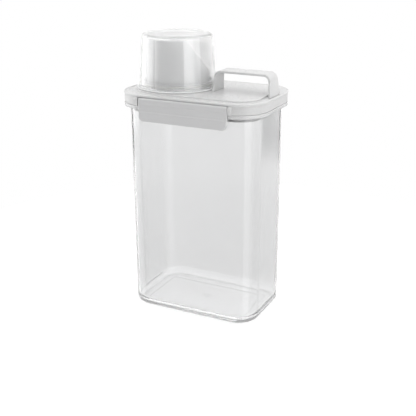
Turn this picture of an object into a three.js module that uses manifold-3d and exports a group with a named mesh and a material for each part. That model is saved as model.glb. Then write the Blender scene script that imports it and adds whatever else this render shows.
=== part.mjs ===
// Detergent dispenser bottle: a clear box-shaped container with a latching lid, a strap handle,
// an oblique pouring spout and a clear measuring cup that caps the spout.
// Millimetres, +Z up, +X towards the handle end, front at -Y, origin at the middle of the base.

import * as THREE from 'three';
import { mergeVertices } from 'three/addons/utils/BufferGeometryUtils.js';
import Module from 'manifold-3d';

const wasm = await Module();
wasm.setup();

// ---------------------------------------------------------------- driving dimensions

const gap = 0.3;               // clearance between pieces that touch on the real bottle
const overrun = 1;             // how far a cutting body reaches past the surface it cuts
const bond = 0.1;              // how far two solids of one piece run into each other
const cornerSteps = 9;         // facets in each rounded upright corner
const roundSteps = 48;         // facets around the spout and the cup

const container = {
  width: 137.8,
  depth: 89.2,
  height: 212.2,               // to the top of the rim flange
  wall: 2.2,
  floor: 2.8,
  cornerRadius: 23.2,
  footRadius: 9.9,             // rounding between the walls and the base
  draft: 0.5,                  // each side leans in by this much down to the base
};
const flange = { overhang: 5.8, thickness: 3.5, edge: 0.7 };
const recess = { marginX: 4.4, marginY: 6.4, cornerRadius: 3.2, depth: 0.8 };

const lidShell = {
  lipOverhang: 0.3,            // lip beyond the container's flange
  skirtInset: 0.6,             // skirt behind the lip
  rise: 10.7,                  // lip top above the flange top
  lipHeight: 1.9,
  lipEdge: 0.5,
  top: 2.4,                    // thickness of the top plate
  wall: 2.2,
};
const deck = { inset: 9.0, rise: 1.0, cornerRadius: 20.0, endMargin: 2.4 };
const plug = { clearance: 0.5, wall: 1.8, depth: 7.7, lead: 0.6 };
const gasket = { grooveDepth: 1.0, grooveHeight: 4.0, grooveAbovePlugEnd: 2.0, beadInset: 0.8 };

const collar = { margin: 1.4, thickness: 0.9 };
const cup = {
  collarMargin: 2.5,           // collar beyond the cup's wall at its mouth
  height: 50.1,
  taper: 3.4,                  // the closed end is narrower by this much on the radius
  wall: 2.0,
  floor: 2.4,
  shoulder: 3.6,
  rimProud: 0.9,
  rimHeight: 1.8,
  rimSlope: 0.6,               // height of the rim's sloping top
};
const spoutTube = {
  insideCupRim: 7.0,           // tube radius is this much less than the cup's mouth radius
  wall: 1.8,
  topClearance: 1.4,           // below the cup's inner end
  cutAzimuth: 35,              // degrees, the way the oblique opening faces
  cutSlope: 53,                // degrees below level
  cutStart: 5.0,               // from the axis, at the top of the tube
  cutLimit: 2.0,               // the opening stays this far above the cup's seat
};
const neck = { wall: 3.2, depth: 6.6, clearance: 0.4, bead: 0.7, beadHeight: 1.6 };
const seat = { wall: 2.0, height: 6.0, clearance: 0.9, moat: 1.2 };
const cupSealRing = { grooveDepth: 1.0, grooveHeight: 3.0, aboveCollar: 1.8, flat: 0.4 };

const strap = {
  rise: 21.1,                  // above the lid's lip
  thickness: 2.3,
  topWidth: 19.0,
  footWidth: 23.8,
  bendRadius: 7.4,
  splay: 1.7,                  // each foot stands out by this much
  endMargin: 2.9,              // from the lid's end to the outer foot
  deckMargin: 0.7,             // from the spout's deck arc to the inner foot
};
const tang = { width: 15.0, depth: 5.2, barb: 0.8, barbHeight: 2.2 };

const latchPlate = {
  endReach: 0.8,               // past the straight part of the side, at each end
  lidProud: 0.9,               // face beyond the lid's lip
  thickness: 1.6,
  drop: 14.3,                  // bottom edge below the flange top
  cornerRadius: 5.0,
  fingerLip: 0.4,
  bandStep: 0.4,
  bandSlope: 0.4,              // half the height of the step between two bands
  upperBand: 2.3,              // above the flange top, where the middle band starts
  lowerBand: 4.9,              // below the flange top, where the finger band starts
  endGap: 0.6,
  taperHeight: 4.0,            // the finger lip's back slopes over this height
};
const rib = { width: 1.4, count: 4, clearance: 0.5 };
const barrel = { radius: 2.2, bore: 1.2, topGap: 0.4 };
const hinge = { pinRadius: 0.9, cheek: 3.4, pinSeat: 2.4, pocketCeiling: 2.0, pocketDepth: 3.2 };
const hook = { underFlange: 0.5, height: 3.2, reach: 3.4, tip: 0.8, endInset: 3.0 };
const notchClearance = 1.1;    // between the latch's plate and the flange behind it

// ---------------------------------------------------------------- sizes that follow

const flangeWidth = container.width + 2 * flange.overhang;
const flangeDepth = container.depth + 2 * flange.overhang;
const flangeCorner = container.cornerRadius + flange.overhang;
const flangeTop = container.height;
const flangeUnder = flangeTop - flange.thickness;

const lidWidth = flangeWidth + 2 * lidShell.lipOverhang;
const lidDepth = flangeDepth + 2 * lidShell.lipOverhang;
const lidCorner = flangeCorner + lidShell.lipOverhang;
const lidTop = flangeTop + lidShell.rise;
const lidUnder = lidTop - lidShell.top;
const skirtBottom = flangeTop + gap;
const deckTop = lidTop + deck.rise;

const deckRadius = lidDepth / 2 - deck.inset;
const axisX = -(lidWidth / 2 - deck.endMargin - deckRadius);
const collarRadius = deckRadius - collar.margin;
const collarBottom = deckTop + gap;
const collarTop = collarBottom + collar.thickness;
const cupMouth = collarRadius - cup.collarMargin;
const cupBottom = collarTop + gap;
const cupTop = cupBottom + cup.height;
const tubeRadius = cupMouth - spoutTube.insideCupRim;
const tubeBore = tubeRadius - spoutTube.wall;
const tubeTop = cupTop - cup.floor - spoutTube.topClearance;
const neckRadius = tubeBore + neck.wall;
const neckBottom = lidUnder - neck.depth;
const seatRadius = cupMouth - cup.wall - seat.clearance;
const seatTop = collarTop + seat.height;

const mouthWidth = container.width - 2 * container.wall;
const mouthDepth = container.depth - 2 * container.wall;
const mouthCorner = container.cornerRadius - container.wall;
const plugWidth = mouthWidth - 2 * plug.clearance;
const plugDepth = mouthDepth - 2 * plug.clearance;
const plugCorner = mouthCorner - plug.clearance;
const plugBottom = flangeTop - plug.depth;
const grooveBottom = plugBottom + gasket.grooveAbovePlugEnd;

const latchHalf = lidWidth / 2 - lidCorner + latchPlate.endReach;
const latchFace = lidDepth / 2 + latchPlate.lidProud;
const latchBack = latchFace - latchPlate.thickness;
const latchBottom = flangeTop - latchPlate.drop;
const pivotY = -(latchFace - barrel.radius);
const pocketTop = lidTop - hinge.pocketCeiling;
const pivotZ = pocketTop - barrel.topGap - barrel.radius;
const pocketHalf = latchHalf + latchPlate.endGap;
const notchDepth = latchBack - notchClearance;
const pocketBack = pivotY + hinge.pocketDepth;

const footRight = lidWidth / 2 - strap.endMargin;
const footLeft = axisX + deckRadius + strap.deckMargin;
const strapTop = lidTop + strap.rise;

// ---------------------------------------------------------------- helpers

// A closed geometry as a manifold solid with its faces pointing out.
function solidOf(geometry) {
  for (const name of ['normal', 'uv']) geometry.deleteAttribute(name);
  const merged = mergeVertices(geometry, 1e-4);
  const position = merged.attributes.position;
  const corners = [];
  const a = new THREE.Vector3();
  const b = new THREE.Vector3();
  const c = new THREE.Vector3();
  let volume = 0;
  for (let i = 0; i < merged.index.count; i += 3) {
    const [p, q, r] = [0, 1, 2].map((k) => merged.index.getX(i + k));
    if (p === q || q === r || r === p) continue;
    a.fromBufferAttribute(position, p);
    b.fromBufferAttribute(position, q);
    c.fromBufferAttribute(position, r);
    volume += a.dot(b.cross(c));
    corners.push([p, q, r]);
  }
  const triangles = corners.map(([p, q, r]) => (volume > 0 ? [p, q, r] : [p, r, q]));
  return new wasm.Manifold(new wasm.Mesh({
    numProp: 3,
    vertProperties: new Float32Array(position.array),
    triVerts: new Uint32Array(triangles.flat()),
  }));
}

function named(name, solid, material) {
  const mesh = solid.getMesh();
  const geometry = new THREE.BufferGeometry();
  geometry.setAttribute('position', new THREE.BufferAttribute(new Float32Array(mesh.vertProperties), 3));
  geometry.setIndex(new THREE.BufferAttribute(new Uint32Array(mesh.triVerts), 1));
  geometry.computeVertexNormals();
  const result = new THREE.Mesh(geometry, material);
  result.name = name;
  return result;
}

// The outline of a rounded rectangle, counter-clockwise, at height z.
function outline(width, depth, radius, z) {
  const points = [];
  const centres = [[1, 1], [-1, 1], [-1, -1], [1, -1]];
  centres.forEach(([sx, sy], corner) => {
    for (let i = 0; i <= cornerSteps; i += 1) {
      const angle = (corner + i / cornerSteps) * Math.PI / 2;
      points.push([
        sx * (width / 2 - radius) + radius * Math.cos(angle),
        sy * (depth / 2 - radius) + radius * Math.sin(angle),
        z,
      ]);
    }
  });
  return points;
}

// A closed body through rounded rectangles: each level is [width, depth, radius, z].
function stack(levels) {
  const rings = levels.map((level) => outline(...level));
  const count = rings[0].length;
  const positions = rings.flat(2);
  const index = [];
  for (let level = 0; level + 1 < rings.length; level += 1) {
    for (let i = 0; i < count; i += 1) {
      const j = (i + 1) % count;
      const low = level * count;
      const high = low + count;
      index.push(low + i, low + j, high + j, low + i, high + j, high + i);
    }
  }
  for (const [ring, turned] of [[0, true], [rings.length - 1, false]]) {
    const centre = positions.length / 3;
    positions.push(0, 0, levels[ring][3]);
    for (let i = 0; i < count; i += 1) {
      const pair = [ring * count + i, ring * count + (i + 1) % count];
      if (turned) pair.reverse();
      index.push(centre, ...pair);
    }
  }
  const geometry = new THREE.BufferGeometry();
  geometry.setAttribute('position', new THREE.Float32BufferAttribute(positions, 3));
  geometry.setIndex(index);
  return solidOf(geometry);
}

// A body turned about an upright axis at x: the profile is a closed loop of [radius, z].
function turned(profile, x = 0) {
  const points = [...profile, profile[0]].map(([radius, z]) => new THREE.Vector2(radius, z));
  const geometry = new THREE.LatheGeometry(points, roundSteps);
  geometry.rotateX(Math.PI / 2);
  geometry.translate(x, 0, 0);
  return solidOf(geometry);
}

function disc(radius, low, high, x = 0) {
  return turned([[0, low], [radius, low], [radius, high], [0, high]], x);
}

function block(low, high) {
  const size = high.map((value, i) => value - low[i]);
  const geometry = new THREE.BoxGeometry(...size);
  geometry.translate(...low.map((value, i) => value + size[i] / 2));
  return solidOf(geometry);
}

// An outline in the YZ plane, carried along X from low to high.
function alongX(points, low, high) {
  const shape = new THREE.Shape(points.map(([y, z]) => new THREE.Vector2(y, z)));
  const geometry = new THREE.ExtrudeGeometry(shape, { depth: high - low, bevelEnabled: false });
  geometry.applyMatrix4(new THREE.Matrix4().makeBasis(
    new THREE.Vector3(0, 1, 0), new THREE.Vector3(0, 0, 1), new THREE.Vector3(1, 0, 0),
  ));
  geometry.translate(low, 0, 0);
  return solidOf(geometry);
}

function rodAlongX(radius, y, z, low, high, steps = 20) {
  const geometry = new THREE.CylinderGeometry(radius, radius, high - low, steps);
  geometry.rotateZ(Math.PI / 2);
  geometry.translate((low + high) / 2, y, z);
  return solidOf(geometry);
}

// Levels of a rounding at the foot of a box: a quarter circle of the given radius.
function footLevels(width, depth, corner, bottom, radius, steps) {
  const levels = [];
  for (let i = 0; i <= steps; i += 1) {
    const angle = i / steps * Math.PI / 2;
    const inset = radius * (1 - Math.sin(angle));
    const z = bottom + radius * (1 - Math.cos(angle));
    levels.push([width - 2 * inset, depth - 2 * inset, corner - inset, z]);
  }
  return levels;
}

function bothSides(make) {
  return [make(), make().rotate([0, 0, 180])];
}

// ---------------------------------------------------------------- materials

const clearPlastic = new THREE.MeshStandardMaterial({
  color: 0xe9ebeb, roughness: 0.06, metalness: 0, transparent: true, opacity: 0.35,
});
const whitePlastic = new THREE.MeshStandardMaterial({ color: 0xe9e9e9, roughness: 0.25, metalness: 0 });
const milkyPlastic = new THREE.MeshStandardMaterial({ color: 0xd9dadb, roughness: 0.3, metalness: 0 });
const silicone = new THREE.MeshStandardMaterial({ color: 0xf0f0ee, roughness: 0.6, metalness: 0 });
const steel = new THREE.MeshStandardMaterial({ color: 0xc4c6c8, roughness: 0.25, metalness: 1 });

// ---------------------------------------------------------------- container

function containerBody() {
  const { width, depth, wall, floor, cornerRadius, footRadius, draft } = container;
  const baseWidth = width - 2 * draft;
  const baseDepth = depth - 2 * draft;
  let solid = stack([
    ...footLevels(baseWidth, baseDepth, cornerRadius, 0, footRadius, 5),
    [width, depth, cornerRadius, flangeTop],
  ]);
  solid = solid.add(stack([
    [flangeWidth - 2 * flange.edge, flangeDepth - 2 * flange.edge, flangeCorner - flange.edge, flangeUnder],
    [flangeWidth, flangeDepth, flangeCorner, flangeUnder + flange.edge],
    [flangeWidth, flangeDepth, flangeCorner, flangeTop - flange.edge],
    [flangeWidth - 2 * flange.edge, flangeDepth - 2 * flange.edge, flangeCorner - flange.edge, flangeTop],
  ]));
  const above = flangeTop + overrun;
  solid = solid.subtract(stack([
    ...footLevels(
      baseWidth - 2 * wall, baseDepth - 2 * wall, cornerRadius - wall, floor, footRadius - wall, 4,
    ),
    [mouthWidth, mouthDepth, mouthCorner, flangeTop],
    [mouthWidth, mouthDepth, mouthCorner, above],
  ]));
  const flatWidth = baseWidth - 2 * footRadius;
  const flatDepth = baseDepth - 2 * footRadius;
  const panel = [flatWidth - 2 * recess.marginX, flatDepth - 2 * recess.marginY, recess.cornerRadius];
  solid = solid.subtract(stack([[...panel, -overrun], [...panel, recess.depth]]));
  const notch = () => block(
    [-pocketHalf, -flangeDepth, flangeUnder - overrun], [pocketHalf, -notchDepth, above],
  );
  for (const side of bothSides(notch)) solid = solid.subtract(side);
  return named('container_body', solid, clearPlastic);
}

// ---------------------------------------------------------------- lid

function lidBlank() {
  const inset = lidShell.skirtInset;
  const edge = lidShell.lipEdge;
  const skirt = [lidWidth - 2 * inset, lidDepth - 2 * inset, lidCorner - inset];
  const outer = stack([
    [...skirt, skirtBottom],
    [...skirt, lidTop - lidShell.lipHeight - inset],
    [lidWidth, lidDepth, lidCorner, lidTop - lidShell.lipHeight],
    [lidWidth, lidDepth, lidCorner, lidTop - edge],
    [lidWidth - 2 * edge, lidDepth - 2 * edge, lidCorner - edge, lidTop],
  ]);
  const wall = lidShell.wall;
  const hollow = [skirt[0] - 2 * wall, skirt[1] - 2 * wall, skirt[2] - wall];
  return outer.subtract(stack([[...hollow, skirtBottom - overrun], [...hollow, lidUnder]]));
}

function plugWall() {
  const inner = [plugWidth - 2 * plug.wall, plugDepth - 2 * plug.wall, plugCorner - plug.wall];
  const { lead } = plug;
  const ring = stack([
    [plugWidth - 2 * lead, plugDepth - 2 * lead, plugCorner - lead, plugBottom],
    [plugWidth, plugDepth, plugCorner, plugBottom + lead],
    [plugWidth, plugDepth, plugCorner, lidUnder + bond],
  ]).subtract(stack([[...inner, plugBottom - overrun], [...inner, lidUnder]]));
  return ring.subtract(grooveRing(plug.clearance, gasket.grooveDepth));
}

// The space of the gasket groove, from outside the plug's wall to the groove's floor.
function grooveRing(outside, depth) {
  const levels = [grooveBottom, grooveBottom + gasket.grooveHeight];
  const at = (offset) => levels.map(
    (z) => [plugWidth + 2 * offset, plugDepth + 2 * offset, plugCorner + offset, z],
  );
  const floor = at(-depth);
  floor[0][3] -= overrun;
  floor[1][3] += overrun;
  return stack(at(outside)).subtract(stack(floor));
}

function deckPlateau() {
  const back = lidWidth / 2 - deck.inset;
  const low = lidUnder + bond;
  const width = back - axisX;
  const radius = Math.min(deck.cornerRadius, width / 2, deckRadius);
  const shape = stack([
    [2 * width, 2 * deckRadius, radius, low],
    [2 * width, 2 * deckRadius, radius, deckTop],
  ]).translate([axisX, 0, 0]);
  const keep = block(
    [axisX, -deckRadius - overrun, low - overrun], [back + overrun, deckRadius + overrun, deckTop + overrun],
  );
  return shape.intersect(keep).add(disc(deckRadius, low, deckTop, axisX));
}

function hingeCheeks() {
  const cheeks = [];
  for (const side of [-1, 1]) {
    const [low, high] = [pocketHalf, pocketHalf + hinge.cheek].map((x) => side * x).sort((a, b) => a - b);
    const front = pivotY - barrel.radius;
    cheeks.push(block([low, pivotY, skirtBottom], [high, pocketBack + lidShell.wall, lidUnder + bond]));
    cheeks.push(block([low, front, skirtBottom], [high, pivotY + bond, pivotZ]));
    cheeks.push(rodAlongX(barrel.radius, pivotY, pivotZ, low, high, 24));
  }
  return cheeks;
}

function lid() {
  let solid = lidBlank().add(plugWall()).add(deckPlateau());
  const pocketWall = () => block(
    [-pocketHalf - hinge.cheek, pocketBack, skirtBottom],
    [pocketHalf + hinge.cheek, pocketBack + lidShell.wall, lidUnder + bond],
  );
  const pocket = () => block(
    [-pocketHalf, -lidDepth, skirtBottom - overrun], [pocketHalf, pocketBack, pocketTop],
  );
  const pinHole = () => rodAlongX(
    hinge.pinRadius + gap, pivotY, pivotZ, -pocketHalf - hinge.pinSeat, pocketHalf + hinge.pinSeat,
  );
  for (const side of [0, 180]) {
    const turn = [0, 0, side];
    for (const cheek of hingeCheeks()) solid = solid.add(cheek.rotate(turn));
    solid = solid.add(pocketWall().rotate(turn));
    solid = solid.subtract(pocket().rotate(turn));
    solid = solid.subtract(pinHole().rotate(turn));
  }
  solid = solid.subtract(disc(neckRadius + neck.clearance, plugBottom, deckTop + overrun, axisX));
  solid = solid.subtract(disc(neckRadius + neck.bead + gap, plugBottom - overrun, lidUnder, axisX));
  for (const [outer, inner] of strapFeet()) {
    const [low, high] = [outer, inner].sort((a, b) => a - b);
    solid = solid.subtract(block(
      [low - gap, -tang.width / 2 - gap, plugBottom],
      [high + gap, tang.width / 2 + gap, deckTop + overrun],
    ));
  }
  return named('lid', solid, whitePlastic);
}

function lidGasket() {
  const inner = [-(gasket.grooveDepth - gap), grooveBottom + gap];
  const top = grooveBottom + gasket.grooveHeight - gap;
  const middle = (inner[1] + top) / 2;
  const reach = plug.clearance - gap;
  const at = (offset, z) => [plugWidth + 2 * offset, plugDepth + 2 * offset, plugCorner + offset, z];
  const solid = stack([
    at(-gap, inner[1]),
    at(reach, inner[1] + gasket.beadInset),
    at(-gap, middle),
    at(reach, top - gasket.beadInset),
    at(-gap, top),
  ]).subtract(stack([at(inner[0], inner[1] - overrun), at(inner[0], top + overrun)]));
  return named('lid_gasket', solid, silicone);
}

// ---------------------------------------------------------------- spout and cup

function spout() {
  const grooveLow = collarTop + cupSealRing.aboveCollar;
  const grooveHigh = grooveLow + cupSealRing.grooveHeight;
  const grooveFloor = seatRadius - cupSealRing.grooveDepth;
  const moatFloor = collarTop + seat.moat;
  const seatBore = seatRadius - seat.wall;
  const beadTop = lidUnder - gap;
  let solid = turned([
    [tubeBore, neckBottom],
    [tubeBore, tubeTop],
    [tubeRadius, tubeTop],
    [tubeRadius, moatFloor],
    [seatBore, moatFloor],
    [seatBore, seatTop],
    [seatRadius, seatTop],
    [seatRadius, grooveHigh],
    [grooveFloor, grooveHigh],
    [grooveFloor, grooveLow],
    [seatRadius, grooveLow],
    [seatRadius, collarTop],
    [collarRadius, collarTop],
    [collarRadius, collarBottom],
    [neckRadius, collarBottom],
    [neckRadius, beadTop],
    [neckRadius + neck.bead, beadTop],
    [neckRadius, beadTop - neck.beadHeight],
    [neckRadius, neckBottom],
  ], axisX);
  const reach = 4 * tubeRadius;
  const cut = new THREE.BoxGeometry(reach, reach, reach);
  cut.translate(0, 0, reach / 2);
  cut.rotateY(THREE.MathUtils.degToRad(spoutTube.cutSlope));
  cut.translate(spoutTube.cutStart, 0, tubeTop);
  cut.rotateZ(THREE.MathUtils.degToRad(spoutTube.cutAzimuth));
  cut.translate(axisX, 0, 0);
  const aboveSeat = disc(reach, seatTop + spoutTube.cutLimit, cupTop + reach, axisX);
  solid = solid.subtract(solidOf(cut).intersect(aboveSeat));
  return named('spout', solid, milkyPlastic);
}

function cupRadiusAt(z) {
  return cupMouth - cup.taper * (z - cupBottom) / cup.height;
}

function cupSeal() {
  const low = collarTop + cupSealRing.aboveCollar + gap;
  const high = low + cupSealRing.grooveHeight - 2 * gap;
  const inner = seatRadius - cupSealRing.grooveDepth + gap;
  const outer = cupRadiusAt(high) - cup.wall - gap;
  const middle = (low + high) / 2;
  const solid = turned([
    [inner, low], [seatRadius, low], [outer, middle - cupSealRing.flat], [outer, middle + cupSealRing.flat],
    [seatRadius, high], [inner, high],
  ], axisX);
  return named('cup_seal', solid, silicone);
}

function measuringCup() {
  const steps = 4;
  const rimTop = cupBottom + cup.rimHeight;
  const profile = [
    [cupMouth - cup.wall, cupBottom],
    [cupMouth + cup.rimProud, cupBottom],
    [cupMouth + cup.rimProud, rimTop - cup.rimSlope],
    [cupRadiusAt(rimTop), rimTop],
  ];
  const shoulderZ = cupTop - cup.shoulder;
  const shoulderR = cupRadiusAt(cupTop) - cup.shoulder;
  for (let i = 0; i <= steps; i += 1) {
    const angle = i / steps * Math.PI / 2;
    profile.push([shoulderR + cup.shoulder * Math.cos(angle), shoulderZ + cup.shoulder * Math.sin(angle)]);
  }
  const ceiling = cupTop - cup.floor;
  const inside = cupRadiusAt(ceiling) - cup.wall;
  const cove = cup.shoulder - cup.wall;
  profile.push([0, cupTop], [0, ceiling]);
  for (let i = steps; i >= 0; i -= 1) {
    const angle = i / steps * Math.PI / 2;
    profile.push([inside - cove + cove * Math.cos(angle), ceiling - cove + cove * Math.sin(angle)]);
  }
  return named('measuring_cup', turned(profile, axisX), clearPlastic);
}

// ---------------------------------------------------------------- handle

// Outer and inner x of each leg at its foot.
function strapFeet() {
  return [[footLeft, footLeft + strap.thickness], [footRight, footRight - strap.thickness]];
}

// The strap's path seen from the front, moved inwards by an offset.
function strapPath(offset) {
  const points = [[footLeft + offset, lidTop]];
  const radius = strap.bendRadius;
  const centreZ = strapTop - radius;
  const inset = strap.splay + radius;
  for (const [centreX, start] of [[footLeft + inset, 180], [footRight - inset, 90]]) {
    for (let i = 0; i <= 6; i += 1) {
      const angle = THREE.MathUtils.degToRad(start - 15 * i);
      const reach = radius - offset;
      points.push([centreX + reach * Math.cos(angle), centreZ + reach * Math.sin(angle)]);
    }
  }
  points.push([footRight - offset, lidTop]);
  return points;
}

function handle() {
  const profile = [...strapPath(0), ...strapPath(strap.thickness).reverse()];
  const shape = new THREE.Shape(profile.map(([x, z]) => new THREE.Vector2(x, z)));
  const geometry = new THREE.ExtrudeGeometry(shape, { depth: strap.footWidth, bevelEnabled: false });
  geometry.rotateX(Math.PI / 2);
  geometry.translate(0, strap.footWidth / 2, 0);
  const halfFoot = strap.footWidth / 2;
  const halfTop = strap.topWidth / 2;
  const bendZ = strapTop - strap.bendRadius;
  const widths = alongX([
    [-halfFoot, lidTop + gap], [halfFoot, lidTop + gap], [halfTop, bendZ], [halfTop, strapTop + overrun],
    [-halfTop, strapTop + overrun], [-halfTop, bendZ],
  ], footLeft - overrun, footRight + overrun);
  const clearOfDeck = block(
    [footLeft - overrun, -halfFoot - overrun, lidTop],
    [(footLeft + footRight) / 2, halfFoot + overrun, deckTop + gap],
  );
  let solid = solidOf(geometry).intersect(widths).subtract(clearOfDeck);
  const tangBottom = lidUnder - tang.depth;
  strapFeet().forEach(([outer, inner], i) => {
    const inwards = Math.sign(inner - outer);
    const [low, high] = [outer, inner].sort((a, b) => a - b);
    const rootTop = (i === 0 ? deckTop : lidTop) + gap + bond;
    const span = tang.width / 2;
    const barbX = [inner - bond * inwards, inner + tang.barb * inwards].sort((a, b) => a - b);
    const barbTop = lidUnder - gap;
    solid = solid.add(block([low, -span, tangBottom], [high, span, rootTop]));
    solid = solid.add(block([barbX[0], -span, barbTop - tang.barbHeight], [barbX[1], span, barbTop]));
  });
  return named('handle', solid, whitePlastic);
}

// ---------------------------------------------------------------- latches

function latchSolid() {
  const face = -latchFace;
  const back = -latchBack;
  const middleZ = flangeTop + latchPlate.upperBand;
  const lowerZ = flangeTop - latchPlate.lowerBand;
  const slope = latchPlate.bandSlope;
  const inward = face + latchPlate.bandStep;
  const lipFace = face - latchPlate.fingerLip;
  const plate = alongX([
    [face, pivotZ], [face, middleZ + slope], [inward, middleZ - slope], [inward, lowerZ + slope],
    [face, lowerZ - slope], [lipFace, latchBottom], [lipFace + latchPlate.thickness, latchBottom],
    [back, latchBottom + latchPlate.taperHeight], [back, pivotZ],
  ], -latchHalf, latchHalf);
  let solid = plate.add(rodAlongX(barrel.radius, pivotY, pivotZ, -latchHalf, latchHalf, 24));
  const root = back - bond;
  const hookTop = flangeUnder - hook.underFlange;
  const hookTip = back + hook.reach;
  const hookProfile = [
    [root, hookTop], [hookTip, hookTop], [hookTip, hookTop - hook.tip], [root, hookTop - hook.height],
  ];
  solid = solid.add(alongX(hookProfile, -latchHalf + hook.endInset, latchHalf - hook.endInset));
  const radius = latchPlate.cornerRadius;
  const above = pivotZ + barrel.radius + overrun;
  const corners = new THREE.Shape();
  corners.moveTo(-latchHalf, above);
  corners.lineTo(-latchHalf, latchBottom + radius);
  corners.absarc(-latchHalf + radius, latchBottom + radius, radius, Math.PI, 1.5 * Math.PI);
  corners.absarc(latchHalf - radius, latchBottom + radius, radius, 1.5 * Math.PI, 2 * Math.PI);
  corners.lineTo(latchHalf, above);
  const reach = latchPlate.thickness + hook.reach + 2 * barrel.radius;
  const depth = 2 * reach;
  const outlineBody = new THREE.ExtrudeGeometry(corners, { depth, bevelEnabled: false, curveSegments: 6 });
  outlineBody.rotateX(Math.PI / 2);
  outlineBody.translate(0, face + reach, 0);
  solid = solid.intersect(solidOf(outlineBody));
  const ribTip = back + notchClearance - rib.clearance;
  const ribLow = latchBottom + radius;
  const ribHigh = pivotZ - barrel.radius / 2;
  const pitch = (2 * latchHalf - rib.width) / (rib.count - 1);
  for (let i = 0; i < rib.count; i += 1) {
    const x = -latchHalf + i * pitch;
    solid = solid.add(alongX(
      [[root, ribLow], [ribTip, ribLow + (ribTip - root)], [ribTip, ribHigh], [root, ribHigh]],
      x, x + rib.width,
    ));
  }
  return solid.subtract(rodAlongX(barrel.bore, pivotY, pivotZ, -latchHalf - overrun, latchHalf + overrun));
}

function latch(name, turn) {
  return named(name, latchSolid().rotate([0, 0, turn]), milkyPlastic);
}

function latchPin(name, turn) {
  const half = pocketHalf + hinge.pinSeat - gap;
  return named(name, rodAlongX(hinge.pinRadius, pivotY, pivotZ, -half, half, 16).rotate([0, 0, turn]), steel);
}

// ---------------------------------------------------------------- assembly

const lidAssembly = new THREE.Group();
lidAssembly.add(lid(), lidGasket(), spout(), cupSeal(), handle());
for (const [side, turn] of [['front', 0], ['rear', 180]]) {
  lidAssembly.add(latch(`${side}_latch`, turn), latchPin(`${side}_latch_pin`, turn));
}

const group = new THREE.Group();
group.add(containerBody(), lidAssembly, measuringCup());

export default group;
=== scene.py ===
import math

import bmesh
import bpy
import numpy as np
from bpy.props import FloatProperty, FloatVectorProperty, IntProperty, PointerProperty
from mathutils import Matrix, Vector


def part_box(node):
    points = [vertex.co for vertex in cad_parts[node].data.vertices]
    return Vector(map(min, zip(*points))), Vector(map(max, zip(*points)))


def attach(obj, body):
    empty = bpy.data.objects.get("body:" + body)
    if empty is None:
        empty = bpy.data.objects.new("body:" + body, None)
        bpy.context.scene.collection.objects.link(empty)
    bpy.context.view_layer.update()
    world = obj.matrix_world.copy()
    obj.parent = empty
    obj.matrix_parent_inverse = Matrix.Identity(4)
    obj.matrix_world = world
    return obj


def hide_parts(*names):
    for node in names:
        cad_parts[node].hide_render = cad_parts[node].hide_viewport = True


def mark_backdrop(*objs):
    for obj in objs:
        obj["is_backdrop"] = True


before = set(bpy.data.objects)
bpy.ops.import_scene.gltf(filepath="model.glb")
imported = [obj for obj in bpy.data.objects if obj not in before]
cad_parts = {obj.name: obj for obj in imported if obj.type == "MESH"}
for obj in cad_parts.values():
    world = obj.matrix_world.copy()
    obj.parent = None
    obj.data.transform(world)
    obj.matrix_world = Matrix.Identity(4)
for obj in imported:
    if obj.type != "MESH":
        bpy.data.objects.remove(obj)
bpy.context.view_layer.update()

bl_info = {
    "name": "Detergent dispenser bottle",
    "version": (1, 0, 0),
    "blender": (4, 5, 0),
    "location": "3D View > Sidebar > Dispenser",
    "description": "Builds a clear dispenser bottle with a latching lid, a pouring spout and a measuring cup",
    "category": "Object",
}

MM = 0.001
GAP = 0.3 * MM
SIDE_ROOM = 0.6 * MM         # from a latch's end to the pocket it sits in
PIN_SEAT = 2.4 * MM          # how deep a hinge pin goes into each cheek
GROOVE_RISE = 2.0 * MM       # gasket groove above the plug's lower edge
SEAT_GROOVE_RISE = 1.8 * MM  # seal groove above the collar
TANG_HALF = 7.5 * MM         # half the width of the handle's tangs
SLOT_HALF = 7.8 * MM         # half the length of the slots they go through
SUPPORT = 0.6 * MM           # distance of the loops that hold a rounded edge tight
CORNER_STEPS = 24            # points round each upright corner
EDGE_STEPS = 6               # points round each small edge
BEND_STEPS = 16              # points round each bend of the handle
SEAL_STEPS = 72              # points round the profile of a seal
SHARP_ANGLE = math.radians(34)
MERGE_DISTANCE = 1e-6
CLEAR = 0.95                 # transmission of the clear plastics
MATT = 0.45                  # transmission where the container's rim is matt
EVEN = (1.0, 1.0, 1.0)       # all colours go equally far under the surface
BOX_SOLID, CUP_SOLID = 0.93, 0.7     # share of light that the plastic bends; the rest goes straight through


# ---------------------------------------------------------------- sizes and colours

def length(label, text, millimetres):
    return FloatProperty(
        name=label, description=text, default=millimetres * MM, min=0.0, unit="LENGTH", precision=5
    )


def angle(label, text, degrees):
    return FloatProperty(name=label, description=text, default=math.radians(degrees), subtype="ANGLE")


def amount(label, text, value, high=10.0):
    return FloatProperty(name=label, description=text, default=value, min=0.0, max=high)


def tone(label, text, *rgb):
    return FloatVectorProperty(
        name=label, description=text, default=(*rgb, 1.0), size=4, min=0.0, max=1.0, subtype="COLOR"
    )


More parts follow.
